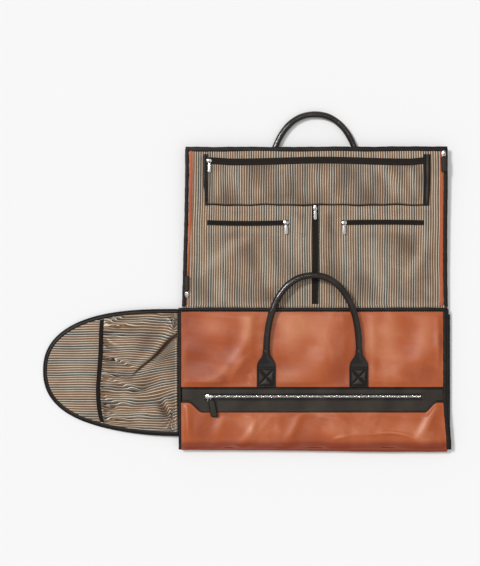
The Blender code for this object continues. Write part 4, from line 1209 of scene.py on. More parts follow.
def build_front_handle():
    """Patches on the front panel, flares between them and the tube, and the tube that lifts."""
    hinge = joint_point("front_handle_lift")
    bend = joint_point("front_tongues_bend")
    points = node_points("front_handle")
    far = points[points[:, 1] > points[:, 1].max() - 0.004]
    rise = np.array([0.0, far[:, 1].mean() - hinge[1], (far[:, 2].min() + far[:, 2].max()) / 2 - hinge[2]])
    plane = Panel(hinge, (1, 0, 0), rise)
    flat = Panel(hinge, (1, 0, 0), (0, 1, 0))
    build_tube("front_handle_tube", plane, "front_handle", "front_handle", 0.0)
    for word in ("left", "right"):
        build_patch(f"front_handle_foot_{word}", FRONT, f"front_patch_{word}", "front_panel", True)
        tongue_low, tongue_high = flat.box(f"front_tongue_{word}")
        middle = (tongue_low[0] + tongue_high[0]) / 2
        root = bend[1] - hinge[1]
        obj = flare(f"front_handle_flare_{word}", flat, middle, root + 0.0016, 0.0125,
                    (tongue_low[2] + tongue_high[2]) / 2, FOOT_HALF, 0.0021, 0.0077)
        bent(obj, "front_tongues", "front_handle", hinge - (0, 0.009, 0.002), hinge + (0, 0.006, 0.0),
             "black_leather", f"front_tongue_{word}")
        x, y = grid(spread(middle - 0.0194, middle + 0.0194, 16), spread(root - 0.0050, root + 0.0052, 12))
        top = tongue_high[2] - 0.0009 + 0.0004 * smooth((y - root) / 0.004) + 0 * x
        joint_strip = slab(f"front_handle_bend_{word}", flat, x, y, top, 0.0022, material("black"))
        bent(joint_strip, "front_panel", "front_tongues", bend - (0, 0.0036, 0), bend + (0, 0.0036, 0),
             "black_leather")


def build_back_handle():
    """The same handle under the back panel, its feet stitched to the panel's outer face."""
    hinge = joint_point("back_handle_swing")
    plane = Panel(hinge, (1, 0, 0), (0, 1, 0))
    build_tube("back_handle_tube", plane, "back_handle", "back_handle", 1.0)
    for word in ("left", "right"):
        low, high = BACK.box(f"back_patch_{word}")
        build_patch(f"back_handle_foot_{word}", BACK, f"back_patch_{word}", "back_panel", False)
        world = BACK.place(np.array([(low[0] + high[0]) / 2, high[1] - 0.025, (low[2] + high[2]) / 2]))
        middle = world[0] - hinge[0]
        obj = flare(f"back_handle_flare_{word}", plane, middle, world[1] - hinge[1] + 0.0005, 0.0125,
                    world[2] - hinge[2], FOOT_HALF, 0.0016, 0.0068, -1.0)
        bent(obj, "back_panel", "back_handle", hinge - (0, 0.006, 0), hinge + (0, 0.006, 0), "black_leather")


# ---- back panel -------------------------------------------------------------------------------------
BACK_FOLDS = (
    ((-0.215, 0.085), (-0.130, 0.150), 0.012, 0.9, 0.010),
    ((-0.250, 0.060), (-0.180, 0.120), 0.009, 0.6, 0.004),
    ((-0.110, 0.150), (-0.085, 0.020), 0.014, 0.7, -0.006),
    ((-0.045, 0.200), (-0.030, 0.090), 0.010, 0.7, 0.004),
    ((-0.200, 0.060), (-0.195, 0.005), 0.012, 0.6, 0.0),
    ((0.045, 0.190), (0.075, 0.030), 0.013, 0.7, 0.006),
    ((0.120, 0.150), (0.150, 0.020), 0.012, 0.8, -0.004),
    ((0.240, 0.170), (0.190, 0.060), 0.012, 0.8, 0.008),
    ((0.235, 0.060), (0.245, 0.010), 0.010, 0.5, 0.0),
    ((-0.250, 0.200), (-0.240, 0.130), 0.008, 0.6, 0.0),
)


def lining_relief(x, y):
    """Soft folds of the back lining, flat where zips lie on it and along its edges, with painted highlight on
    their ridges and painted shade in their hollows.
    """
    low, high = BACK.box("back_lining")
    folds = sum(crease(x, y, *fold) for fold in BACK_FOLDS)
    slow = waves(x, y, 44, (0.16, 0.10, 0.06), 0.6)
    calm = smooth((x - low[0]) / 0.02) * smooth((high[0] - x) / 0.02) * smooth((y - low[1]) / 0.02)
    calm = calm * smooth((high[1] - y) / 0.02)
    for name in ("left_pocket_zip_tape", "right_pocket_zip_tape", "garment_zip_tape", "top_pocket_front"):
        box_low, box_high = BACK.box(name)
        reach_x = np.maximum(np.maximum(box_low[0] - x, x - box_high[0]), 0.0)
        reach_y = np.maximum(np.maximum(box_low[1] - y, y - box_high[1]), 0.0)
        calm = calm * smooth((np.hypot(reach_x, reach_y) - 0.004) / 0.022)
    tone = np.clip(folds * 0.9 + slow * 0.9 - 0.25, -0.7, 0.6)
    return 0.0021 * (folds + slow * 0.5 + 0.15) * calm, tone * calm


def build_back_sheets():
    """Outer skin, lining, tan facings and bindings of the back panel."""
    low, high = BACK.box("back_outer")
    x, y = grid(spread(low[0], high[0], 90), spread(low[1], high[1], 60))
    # Painted highlight and painted shade of the creases, on an almost flat skin.
    relief, wear = creased(x, y, UPPER_CREASES, 61)
    skin = slab("back_skin", BACK, x, y, high[2] - 0.0002 + 0.0001 * relief / 0.0024, high[2] - low[2],
                material("tan"), wear=wear * 0.8)
    put(skin, "back_panel", "tan_leather", "back_outer")

    low, high = BACK.box("back_lining")
    x, y = grid(spread(low[0], high[0], 260), spread(low[1], high[1], 150))
    relief, wear = lining_relief(x, y)
    x = x - FACING_LOSS * (1 - smooth(y / 0.24)) * smooth((-x - 0.20) / 0.06)
    slide = 0.0016 * waves(x, y, 47, (0.2, 0.12, 0.07), 1.0)
    uv = np.stack([x + slide, y], -1)
    cloth = slab("back_lining_cloth", BACK, x, y, relief - 0.0001, 0.0011, material("stripes"), uv, wear,
                 radius=0.0005)
    put(cloth, "back_panel", "striped_lining", "back_lining")
    cloth_sheet(cloth)

    for seed, word in ((1, "left"), (2, "right")):
        low, high = BACK.box(f"back_{word}_facing")
        x, y = grid(spread(low[0], high[0], 8, edge=0.0006), spread(low[1], high[1], 90))
        top = high[2] + 0.0004 * np.sin(math.pi * (x - low[0]) / (high[0] - low[0])) + waves(
            x, y, seed + 50, (0.12, 0.05), 0.0002)
        if word == "left":
            x = low[0] + (x - low[0]) * (1 - FACING_LOSS * (1 - smooth(y / 0.24)) / (high[0] - low[0]))
        facing = slab(f"back_{word}_facing_skin", BACK, x, y, top, 0.0012, material("tan"), radius=0.0006)
        put(facing, "back_panel", "tan_leather", f"back_{word}_facing")
        low, high = BACK.box(f"back_{word}_binding")
        middle = (low + high) / 2
        path = straight(low[1] - 0.0005, high[1] + 0.004, (middle[0], middle[2]), 1, wobble=0.0006, seed=seed)
        side = -1 if word == "left" else 1
        path[:, 0] += side * 0.0012 * smooth((0.09 - path[:, 1]) / 0.09)
        binding(f"back_{word}_edge", BACK, path, high[0] - low[0], high[2] - low[2], "back_panel", seed,
                f"back_{word}_binding")
        row = path + np.array([-side * 0.0028, 0.0, (high[2] - low[2]) / 2 - 0.0004])
        stitches(f"back_{word}_edge_stitches", BACK, row, "back_panel")
    low, high = BACK.box("back_top_binding")
    middle = (low + high) / 2
    path = straight(low[0] + 0.001, high[0] - 0.001, (middle[1] - 0.0012, middle[2]), 0, 140, wobble=0.0014,
                    seed=19)
    binding("back_top_edge", BACK, path, high[1] - low[1] + 0.0028, high[2] - low[2], "back_panel", 4,
            "back_top_binding")
    row = path + np.array([0.0, -0.0044, (high[2] - low[2]) / 2 - 0.0004])
    stitches("back_top_edge_stitches", BACK, row, "back_panel")


def pocket_wave(x):
    """How far the top pocket's zip strays towards the panel's edge along its length."""
    low, high = BACK.box("top_pocket_zip_tape")
    t = (x - low[0]) / (high[0] - low[0])
    ends = smooth(t / 0.12) * smooth((1 - t) / 0.06)
    return ends * (-0.0006 + 0.0019 * np.sin(2 * math.pi * (t * 1.25 - 0.42)))


def build_top_pocket():
    """The pouch under the top edge: a full cloth front, wavy zip, strip above it, gussets and piping."""
    low, high = BACK.box("top_pocket_front")
    tape_low, tape_high = BACK.box("top_pocket_zip_tape")
    panel_top = BACK.box("back_lining")[1][1]
    rise = high[2]
    x, share = grid(spread(low[0], high[0], 220), spread(0.0, 1.0, 60, edge=0.015))
    y_high = high[1] + pocket_wave(x)
    y_low = low[1] + 0.0008 * np.sin(x * 47) + 0.0005 * np.sin(x * 113 + 1)
    y = y_low + share * (y_high - y_low)
    fullness = smooth(share / 0.30) * (0.75 + 0.25 * smooth((1 - share) / 0.3))
    pleats = sum(crease(x, y, *fold) for fold in (
        ((0.135, 0.300), (0.175, 0.232), 0.010, 1.0, 0.004), ((-0.180, 0.296), (-0.150, 0.230), 0.010, 0.8,
                                                              0.0),
        ((-0.080, 0.300), (-0.060, 0.235), 0.012, 0.6, 0.0), ((0.040, 0.298), (0.030, 0.240), 0.012, 0.6,
                                                              0.0),
        ((0.200, 0.296), (0.212, 0.226), 0.007, 0.9, 0.0), ((-0.215, 0.290), (-0.205, 0.228), 0.007, 0.8,
                                                            0.0)))
    slow = waves(x, y, 71, (0.11, 0.07, 0.04), 1.0)
    top = 0.0010 + fullness * (rise + 0.0008) + (pleats * 0.0016 + slow * 0.0011) * fullness * smooth(
        (1 - share) / 0.1)
    # Painted highlight on the pleats, painted shade between them and along the pouch's lower edge.
    wear = np.clip(pleats * 0.7 + slow * 0.5 - 0.3, -0.6, 0.5) - 0.9 * (1 - smooth(share / 0.05))
    uv = np.stack([x + 0.0014 * slow + 0.0012 * pleats, y], -1)
    front = slab("top_pocket_cloth", BACK, x, y, top, 0.0011, material("stripes"), uv, wear, radius=0.0005)
    put(front, "back_panel", "striped_lining", "top_pocket_front")
    cloth_sheet(front)

    x, share = grid(spread(tape_low[0], tape_high[0], 160), spread(0.0, 1.0, 10, edge=0.03))
    y = tape_low[1] - 0.0004 + share * (tape_high[1] - tape_low[1] + 0.0006) + pocket_wave(x)
    hump = bell(share - 0.5, 0.16)
    top = rise + 0.0001 + 0.0008 * (1 - bell(np.abs(share - 0.5) - 0.42, 0.10)) - 0.0008 * hump
    tape = slab("top_pocket_tape", BACK, x, y, top, 0.0012, material("tape"), radius=0.0004)
    put(tape, "back_panel", "zip_tape", "top_pocket_zip_tape")
    xs = np.linspace(tape_low[0] + 0.002, tape_high[0] - 0.002, 300)
    path = np.stack([xs, (tape_low[1] + tape_high[1]) / 2 + pocket_wave(xs), 0 * xs + rise - 0.0006], -1)
    tooth_rows("top_pocket_teeth", BACK, path, "back_panel", "tape", 0.0046, 0.0009)

    x, share = grid(spread(tape_low[0] + 0.0005, tape_high[0] - 0.0005, 200), spread(0.0, 1.0, 12, edge=0.04))
    y_low = tape_high[1] + 0.0001 + pocket_wave(x)
    y_high = panel_top - 0.0012 + 0.0007 * np.sin(x * 39)
    y = y_low + share * (y_high - y_low)
    gather = 0.0005 * np.sin(x * 420 + 3 * np.sin(x * 61)) * (1 - share)
    top = 0.0012 + (rise - 0.0002) * (1 - smooth((share - 0.35) / 0.65)) + gather
    uv = np.stack([x + 0.0012 * np.sin(x * 39), y], -1)
    # The gathers' height is painted on them as highlight and shade.
    strip = slab("top_pocket_strip", BACK, x, y, top, 0.0010, material("stripes"), uv, gather * 400,
                 radius=0.0004)
    put(strip, "back_panel", "striped_lining")
    cloth_sheet(strip)

    for seed, word in ((6, "left"), (7, "right")):
        low_g, high_g = BACK.box(f"top_pocket_{word}_gusset")
        x, y = grid(spread(low_g[0], high_g[0], 14, edge=0.0008),
                    spread(low_g[1] - 0.001, high_g[1] + 0.007, 60))
        side = -1 if word == "left" else 1
        t = (x - low_g[0]) / (high_g[0] - low_g[0])
        outer = 1 - t if side < 0 else t
        x = x + (0.0030 * outer if side > 0 else 0.0)
        lean = side * (0.0022 if word == "right" else 0.0044) * (1 - smooth((y - low_g[1]) / 0.06)) * outer
        bellows = 0.0006 * np.cos(2 * math.pi * outer * 1.5)
        top = high_g[2] - 0.0001 + bellows * smooth((y - low_g[1]) / 0.01) + waves(x, y, seed, (0.05, 0.03),
                                                                                   0.0003)
        # The bellows carry painted highlight on their ridges and painted shade in their folds.
        gusset = slab(f"top_pocket_{word}_side", BACK, x - lean, y, top, 0.0016, material("black"),
                      wear=np.clip(bellows * 700, -0.4, 0.35))
        put(gusset, "back_panel", "black_leather", f"top_pocket_{word}_gusset")
    xs = np.linspace(low[0] - 0.008, high[0] + 0.008, 260)
    ys = low[1] - 0.0004 + 0.0008 * np.sin(xs * 47) + 0.0005 * np.sin(xs * 113 + 1)
    path = np.stack([xs, ys, 0 * xs + 0.0012], -1)
    piping = carried("top_pocket_piping", BACK, path, UP, rounded(0.0022, 0.0020, 10, 2.2),
                     material("black"))
    put(piping, "back_panel", "black_leather")


def build_lining_zips():
    """The three black zips of the lining: tape, welts along it and meshing teeth."""
    for name, along, sag in (("left_pocket", 0, -0.0016), ("right_pocket", 0, 0.0010),
                             ("garment", 1, 0.0008)):
        node_name = f"{name}_zip_tape"
        low, high = BACK.box(node_name)
        other = 1 - along
        low[along] -= 0.0055 if name == "garment" else 0.0
        run = spread(low[along], high[along], 90)
        across = spread(low[other], high[other], 10, edge=0.0006)
        a, b = grid(run, across)
        t = (a - low[along]) / (high[along] - low[along])
        stray = sag * np.sin(math.pi * t) * smooth(t / 0.15) * smooth((1 - t) / 0.15)
        share = (b - low[other]) / (high[other] - low[other]) * 2 - 1
        welt = 0.0006 * bell(np.abs(share) - 0.80, 0.16)
        top = high[2] - 0.0003 + welt
        x, y = (a, b + stray) if along == 0 else (b + stray, a)
        tape = slab(f"{name}_tape", BACK, x, y, top, 0.0012, material("tape"), radius=0.0004)
        put(tape, "back_panel", "zip_tape", node_name)
        ts = np.linspace(0.01, 0.99, 160)
        at = low[along] + ts * (high[along] - low[along])
        mid = (low[other] + high[other]) / 2 + sag * np.sin(math.pi * ts) * smooth(ts / 0.15) * smooth(
            (1 - ts) / 0.15)
        path = np.stack([at, mid] if along == 0 else [mid, at], -1)
        path = np.concatenate([path, np.full((len(path), 1), high[2] - 0.0004)], 1)
        tooth_rows(f"{name}_teeth", BACK, path, "back_panel", "tape", 0.0040, 0.0009)
        for sign in (-1, 1):
            edge = path[3:-3].copy()
            edge[:, other] += sign * (high[other] - low[other]) * 0.46
            edge[:, 2] = high[2] + 0.0001
            stitches(f"{name}_stitches_{'low' if sign < 0 else 'high'}", BACK, edge, "back_panel")


# ---- end panels -------------------------------------------------------------------------------------
class EndShape:
    """Outline of a D-shaped end panel: a superellipse between its hinge and its tip."""

    TIP_POWER = 2.8
    SIDE_POWER = 2.3

    def __init__(self, panel, side):
        low, high = panel.box(f"{side}_end_zip_chain")
        self.start = low[0]
        self.length = high[0] - low[0]
        self.half = (high[1] - low[1]) / 2
        self.root = 0.0045 if side == "left" else 0.0

    def width(self, x, inset):
        """Half width at x, inside the inset."""
        share = np.clip((x - self.start) / (self.length - inset), 0.0, 1.0)
        return (self.half - inset) * (1 - share ** self.TIP_POWER) ** (1 / self.SIDE_POWER)

    def arc(self, inset, count=300):
        """Points along the curved edge at an inset, from one root round the tip to the other."""
        angle = np.linspace(-math.pi / 2, math.pi / 2, 4000)
        c, s = np.clip(np.cos(angle), 0, 1), np.sin(angle)
        x = self.start + (self.length - inset) * c ** (2 / self.TIP_POWER)
        y = signed_power(s, 2 / self.SIDE_POWER) * (self.half - inset)
        dense = np.stack([x, y], -1)
        run = run_of(dense)
        edge = resampled(dense, np.linspace(0, run[-1], count), run)
        if not self.root:
            return edge
        turned = [edge[0] - (self.root, -0.0012), edge[-1] - (self.root, 0.0012)]
        return np.concatenate([turned[:1], edge, turned[1:]])

    def sheet(self, inset, rows, columns):
        """Grid over the D: columns across it, rows from the hinge to the tip."""
        t = np.sin(np.linspace(0, math.pi / 2 * 0.955, rows))
        xs = self.start + (self.length - inset) * t
        xs = np.concatenate([xs[:1], xs[:1] + np.array([0.0004, 0.0010]), xs[1:]])
        across = spread(-1.0, 1.0, columns, edge=0.008)
        u, x = np.meshgrid(across, np.unique(xs), indexing="xy")
        return x, u * self.width(x, inset), u


def build_end(side, panel, body, tilt_seed):
    """Skin, lining, binding and zip chain of one end panel."""
    shape = EndShape(panel, side)
    low, high = panel.box(f"{side}_end_outer")
    x, y, _ = shape.sheet(END_INSET, 80, 80)
    # Painted highlight and painted shade of creases that the flat skin does not have.
    _, wear = creased(x - 0.14, y + 0.2, UPPER_CREASES, tilt_seed)
    skin = slab(f"{side}_end_skin", panel, x, y, high[2] - 0.0001 + 0 * x, high[2] - low[2], material("tan"),
                wear=wear * 0.8)
    put(skin, body, "tan_leather", f"{side}_end_outer")
    low, high = panel.box(f"{side}_end_lining")
    x, y, u = shape.sheet(END_INSET, 120, 120)
    edge = smooth((1 - np.abs(u)) / 0.12) * smooth((shape.start + shape.length - 0.012 - x) / 0.03)
    slow = waves(x, y, tilt_seed + 3, (0.12, 0.08, 0.05), 1.0)
    top = high[2] - 0.0001 + 0.0006 * (slow + 0.5) * edge * (1 if side == "left" else 0.2)
    uv = np.stack([y + 0.0012 * slow, x], -1)
    # Painted highlight on the slow swells and painted shade between them.
    lining = slab(f"{side}_end_cloth", panel, x, y, top, high[2] - low[2], material("stripes"), uv,
                  slow * 0.25, radius=0.0005)
    put(lining, body, "striped_lining", f"{side}_end_lining")
    cloth_sheet(lining)

    low, high = panel.box(f"{side}_end_binding")
    path = shape.arc(CHAIN_REACH + 0.00325, 320)
    path = np.concatenate([path, np.full((len(path), 1), (low[2] + high[2]) / 2)], 1)
    binding(f"{side}_end_edge", panel, path, 0.0074, high[2] - low[2], body, tilt_seed, f"{side}_end_binding")
    row = shape.arc(CHAIN_REACH + 0.0058, 320)
    row = np.concatenate([row, np.full((len(row), 1), high[2] - 0.0005)], 1)
    stitches(f"{side}_end_edge_stitches", panel, row, body)
    low, high = panel.box(f"{side}_end_zip_chain")
    level = (low[2] + high[2]) / 2
    path = shape.arc(0.0022, 360)
    path = np.concatenate([path, np.full((len(path), 1), level)], 1)
    chain = carried(f"{side}_end_tape", panel, path, UP, rounded(0.0036, 0.0012, 10, 4.0),
                    material("tape"))
    put(chain, body, "zip_tape", f"{side}_end_zip_chain")
    path = shape.arc(0.0010, 360)
    path = np.concatenate([path, np.full((len(path), 1), level - 0.0009)], 1)
    tooth_rows(f"{side}_end_teeth", panel, path, body, "tape", 0.0022, 0.0020)


def mouth_bow(u):
    """How far the pocket's mouth strays from a straight line: its ends are drawn towards the fold."""
    return -0.0040 + 0.0028 * np.sin(math.pi * u) - 0.0045 * u ** 4


POCKET_FOLDS = (
    ((0.020, 0.022), (0.120, 0.058), 0.010, 0.7, 0.006), ((0.030, 0.070), (0.150, 0.090), 0.009, 0.8, 0.010),
    ((0.088, 0.030), (0.157, 0.004), 0.0045, 1.1, 0.004), ((0.084, -0.006), (0.157, -0.034), 0.0040, 1.2,
                                                           -0.004),
    ((0.060, -0.108), (0.156, -0.098), 0.006, 0.9, 0.004), ((0.112, -0.118), (0.157, -0.103), 0.0035, 1.2,
                                                            0.0),
    ((0.100, -0.104), (0.156, -0.088), 0.0035, 1.0, 0.0), ((0.104, 0.102), (0.157, 0.094), 0.0045, 1.1, 0.0),
    ((0.096, 0.070), (0.156, 0.054), 0.0050, 1.0, 0.0), ((0.080, 0.118), (0.150, 0.112), 0.0050, 0.8, 0.0),
    ((0.006, 0.100), (0.030, 0.048), 0.0060, 1.0, 0.0), ((0.070, 0.046), (0.118, 0.022), 0.0060, 0.9, 0.0),
    ((0.062, 0.034), (0.110, 0.050), 0.0070, -1.0, 0.0), ((0.022, 0.094), (0.042, 0.060), 0.0080, -1.1, 0.0),
    ((0.118, 0.010), (0.158, 0.016), 0.0030, -0.9, 0.0), ((0.120, -0.022), (0.158, -0.026), 0.0036, -0.8,
                                                          0.003),
    ((0.128, 0.078), (0.158, 0.074), 0.0030, -1.2, 0.0), ((0.118, -0.092), (0.158, -0.094), 0.0028, -1.2,
                                                          0.0),
    ((0.012, 0.074), (0.014, 0.100), 0.0020, -1.3, 0.0), ((0.004, -0.116), (0.010, -0.082), 0.0035, -1.5,
                                                          0.0),
)


def corner_fan(x, y, corner, reach, folds, turn):
    """Small pleats that fan out of a corner: waves round it that die away with distance."""
    dx, dy = x - corner[0], y - corner[1]
    away = np.hypot(dx, dy)
    return np.sin(folds * (np.arctan2(dy, dx) + turn)) * bell(away, reach) * smooth(away / 0.006)


def build_shoe_pocket():
    """Gathered pocket of the left end: a full cloth arch with a deep slanting fold, small pleats that
    fan out from the elastic and from its corners, and the ribbed elastic band over its mouth."""
    shape = EndShape(LEFT, "left")
    band_low, band_high = LEFT.box("shoe_pocket_band")
    start, mouth = shape.start + 0.0015, band_low[0] - 0.0002
    u, share = np.meshgrid(spread(-1.0, 1.0, 300, edge=0.006), spread(0.0, 1.0, 210, edge=0.006),
                           indexing="xy")
    run = mouth + mouth_bow(u) - start
    x = start + share * run
    half = shape.width(x, 0.0092)
    y = u * half
    rise = 0.0042 + 0.0095 * smooth(share * 0.9 + 0.1)
    arch = np.clip(1 - u * u, 0, 1) ** 0.62
    root = smooth((x - start) / 0.020)
    base = 0.0004 + rise * arch * (0.35 + 0.65 * root)
    rng = np.random.default_rng(5)
    near = run * (1.0 - share)
    fan = np.zeros_like(x)
    for k in range(34):
        centre = -0.98 + 1.96 * (k + rng.uniform(-0.3, 0.3)) / 33
        reach = rng.uniform(0.012, 0.055)
        lean = rng.uniform(-0.35, 0.35)
        wide = rng.uniform(0.0012, 0.0024)
        off = y - centre * half - lean * near
        fan += rng.uniform(0.5, 1.0) * bell(off, wide + 0.06 * near) * bell(near, reach)
    fan = fan - 0.55 * bell(near, 0.03)
    fan = fan + corner_fan(x, y, (0.000, 0.118), 0.024, 22.0, 0.2) * 0.8
    fan = fan + corner_fan(x, y, (-0.002, -0.118), 0.022, 20.0, 0.0) * 0.9
    a, b = np.array([0.0, -0.0785]), np.array([0.094, 0.010])
    along = (b - a) / np.linalg.norm(b - a)
    dx, dy = x - a[0], y - a[1]
    s = (dx * along[0] + dy * along[1]) / np.linalg.norm(b - a)
    off = -dx * along[1] + dy * along[0] + 0.0015 * np.sin(9.0 * s)
    fade = smooth((s + 0.15) / 0.15) * smooth((1.12 - s) / 0.35)
    valley = bell(off, 0.0046 - 0.0026 * np.clip(s, 0.0, 1.0)) * fade
    ridge = bell(off + 0.0095, 0.0070) * fade
    soft = sum(crease(x, y, *fold) for fold in POCKET_FOLDS)
    slow = waves(x, y, 91, (0.09, 0.06, 0.04), 1.0)
    loose = arch ** 0.5 * root
    relief = 0.0018 * fan * arch ** 0.3 * (0.4 + 0.6 * root)
    relief = relief - 0.0048 * valley * loose + 0.0032 * ridge * loose
    relief = relief + (0.0024 * soft + 0.0012 * slow) * loose
    top = np.maximum(base + relief, 0.0004 + 0.0006 * arch) + 0.0011
    below = smooth(off / 0.02) * smooth((1.25 - s) / 0.6) * smooth((s + 0.2) / 0.3)
    above = smooth(-off / 0.004) * bell(off, 0.030) * fade
    slip = 0.0026 * np.sin(y * 45 + 1.0) * smooth(share) + (0.016 * below - 0.011 * above) * (0.100 - x) / 0.1
    slip = slip + 0.0036 * soft + 0.0024 * slow - 0.0026 * fan
    # Painted highlight on the pleats and the ridge, painted shade in the deep valley and between the pleats,
    # and a painted highlight line along the pocket's root.
    wear = np.clip(0.60 * soft + 0.45 * slow + 0.60 * fan - 0.30, -0.9, 0.5) - 1.2 * valley + 0.2 * ridge
    wear = wear + 0.9 * bell(x - start - 0.0022, 0.0010) * smooth((y + 0.07) / 0.01)
    uv = np.stack([y + slip, x], -1)
    pocket = slab("shoe_pocket_cloth", LEFT, x, y, top, 0.0011, material("stripes"), uv, wear, radius=0.0005)
    put(pocket, "left_end", "striped_lining", "shoe_pocket")
    cloth_sheet(pocket)

    xs = spread(band_low[0] - 0.0006, band_high[0] + 0.0004, 10, edge=0.0008)
    u, x = np.meshgrid(spread(-1.0, 1.0, 260, edge=0.006), xs, indexing="xy")
    half = shape.width(x, 0.0090)
    t = (x - xs[0]) / (xs[-1] - xs[0])
    arch = np.clip(1 - u * u, 0, 1) ** 0.62
    pucker = 0.0004 * np.sin(u * 210 + 2 * np.sin(u * 31))
    top = 0.0004 + 0.0137 * arch + 0.0026 + pucker * np.sin(math.pi * t) * arch ** 0.3
    bow = mouth_bow(u)
    uv = np.stack([u * 0.135, x], -1)
    band = slab("shoe_pocket_elastic", LEFT, x + bow, u * half, top, 0.0024, material("elastic"), uv,
                radius=0.0009)
    put(band, "left_end", "elastic", "shoe_pocket_band")
    for word, place in (("inner", 0.0012), ("outer", 0.0078)):
        us = np.linspace(-0.97, 0.97, 200)
        at = band_low[0] + place
        rows = np.stack([at + mouth_bow(us), us * shape.width(at + 0 * us, 0.0090),
                         0.0004 + 0.0137 * (1 - us * us) ** 0.62 + 0.0027], -1)
        stitches(f"shoe_pocket_{word}_stitches", LEFT, rows, "left_end")


# ---- sliders and pulls ------------------------------------------------------------------------------
def outline_plate(name, panel, half_width, y_range, low, thickness, look, count=26, across=12, lean=0.0,
                  radius=0.0005, bulge=0.0, wear=None):
    """A plate whose half width is a function of the place along it, with rounded faces and rim."""
    ys = y_range[0] + (y_range[1] - y_range[0]) * (1 - np.cos(np.linspace(0, math.pi, count))) / 2
    u, y = np.meshgrid(spread(-1.0, 1.0, across, edge=0.12), ys, indexing="xy")
    half = half_width(y)
    x = u * half + lean * (y_range[1] - y)
    length = np.sin(math.pi * (y - y_range[0]) / (y_range[1] - y_range[0])) ** 0.5
    top = low + thickness + bulge * (1 - u * u) * length
    return slab(name, panel, x, y, top, thickness, look, radius=radius,
                wear=None if wear is None else wear(u, y))


def rod(name, panel, path, radius, look, closed=False):
    """A round wire along a path, six-sided where it is small."""
    normal = UP if np.ptp(path[:, 0]) > 1e-4 else np.array([1.0, 0.0, 0.0])
    return carried(name, panel, path, normal, rounded(2 * radius, 2 * radius, 12, 2.0), look, closed=closed)


def join(name, pieces):
    """Several closed meshes of one finish as one piece."""
    shape = bmesh.new()
    for piece in pieces:
        shape.from_mesh(piece.data)
    mesh = bpy.data.meshes.new(name)
    shape.to_mesh(mesh)
    shape.free()
    mesh.materials.append(pieces[0].data.materials[0])
    obj = bpy.data.objects.new(name, mesh)
    bpy.context.scene.collection.objects.link(obj)
    for piece in pieces:
        old = piece.data
        bpy.data.objects.remove(piece, do_unlink=True)
        bpy.data.meshes.remove(old)
    return obj


def round_end(half, y_range, corner):
    """Half width of a plate with rounded corners at both ends."""
    def width(y):
        near = np.clip(np.minimum(y - y_range[0], y_range[1] - y) / corner, 0.0, 1.0)
        return half - corner * (1 - np.sqrt(np.clip(1 - (1 - near) ** 2, 0.0, 1.0))) + 0 * y
    return width


def build_slider(name, along_x):
    """A cast slider: two plates with a waist, a stem between them and a bridge over the pull's bar."""
    hinge = joint_point(f"{name}_pull_turn")
    base = FRONT if name == "front_pocket" else BACK
    turned = -1.0 if name == "left_side" else 1.0
    panel = Panel(hinge, base.u * turned, base.v * turned)
    low, high = panel.box(f"{name}_slider")
    floor = low[2]
    way = 1.0 if name == "right_pocket" else -1.0
    axes = (way * panel.v, -way * panel.u) if along_x else (panel.u, panel.v)
    plates = Panel(hinge, *axes)
    chrome = material("chrome")
    reach = 0.0090 if name == "front_pocket" else 0.0056 if along_x else 0.0060
    span = (-reach, reach)

    def shield(y):
        return (0.0042 - 0.0012 * smooth((y + 0.001) / 0.006)) * np.sqrt(
            np.clip(1 - np.abs(y / reach) ** 5.0, 0.02, 1.0))

    parts = [outline_plate("p1", plates, shield, span, floor + 0.0015, 0.0011, chrome, bulge=0.0004),
             outline_plate("p2", plates, shield, span, floor - 0.0004, 0.0008, chrome),
             outline_plate("p3", plates, lambda y: 0.0011 + 0 * y, (-0.0052, -0.0012), floor + 0.0002, 0.0016,
                           chrome, count=8, across=4)]
    t = np.linspace(0, math.pi, 22)
    bridge = np.stack([0 * t, -0.0032 * np.cos(t),
                       floor + 0.0024 + (high[2] - floor - 0.0031) * np.sin(t) ** 0.6], -1)
    profile = rounded(0.0024, 0.0013, 12, 3.0)
    parts.append(carried("p4", panel, bridge, np.array([1.0, 0.0, 0.0]), profile[:, ::-1], chrome))
    slider = join(f"{name}_slider_body", parts)
    put(slider, f"{name}_slider", "chrome", f"{name}_slider")
    return panel


def build_metal_pull(name, panel):
    """A small cast pull: a wire eye round the bridge and a tapered tab with a pierced end."""
    end = panel.box(f"{name}_pull")[0][1]
    chrome = material("chrome")
    t = np.linspace(0, 2 * math.pi, 41)[:-1]
    c, s = np.cos(t), np.sin(t)
    eye = np.stack([signed_power(c, 0.6) * 0.0020, -0.0031 + signed_power(s, 0.6) * 0.0031, 0 * t], -1)
    parts = [rod("p1", panel, eye, 0.0006, chrome, closed=True)]

    def taper(y):
        return (0.0020 + 0.0014 * smooth((-y - 0.0055) / 0.005)) * np.sqrt(
            np.clip(1 - np.clip((-y + end + 0.0035) / 0.0035, 0, 1) ** 2, 0.03, 1.0))

    parts.append(outline_plate("p2", panel, taper, (end, -0.0052), -0.0006, 0.0012, chrome, count=30,
                               bulge=0.0002))
    pull = join(f"{name}_pull_tab", parts)
    put(pull, f"{name}_pull", "chrome", f"{name}_pull")


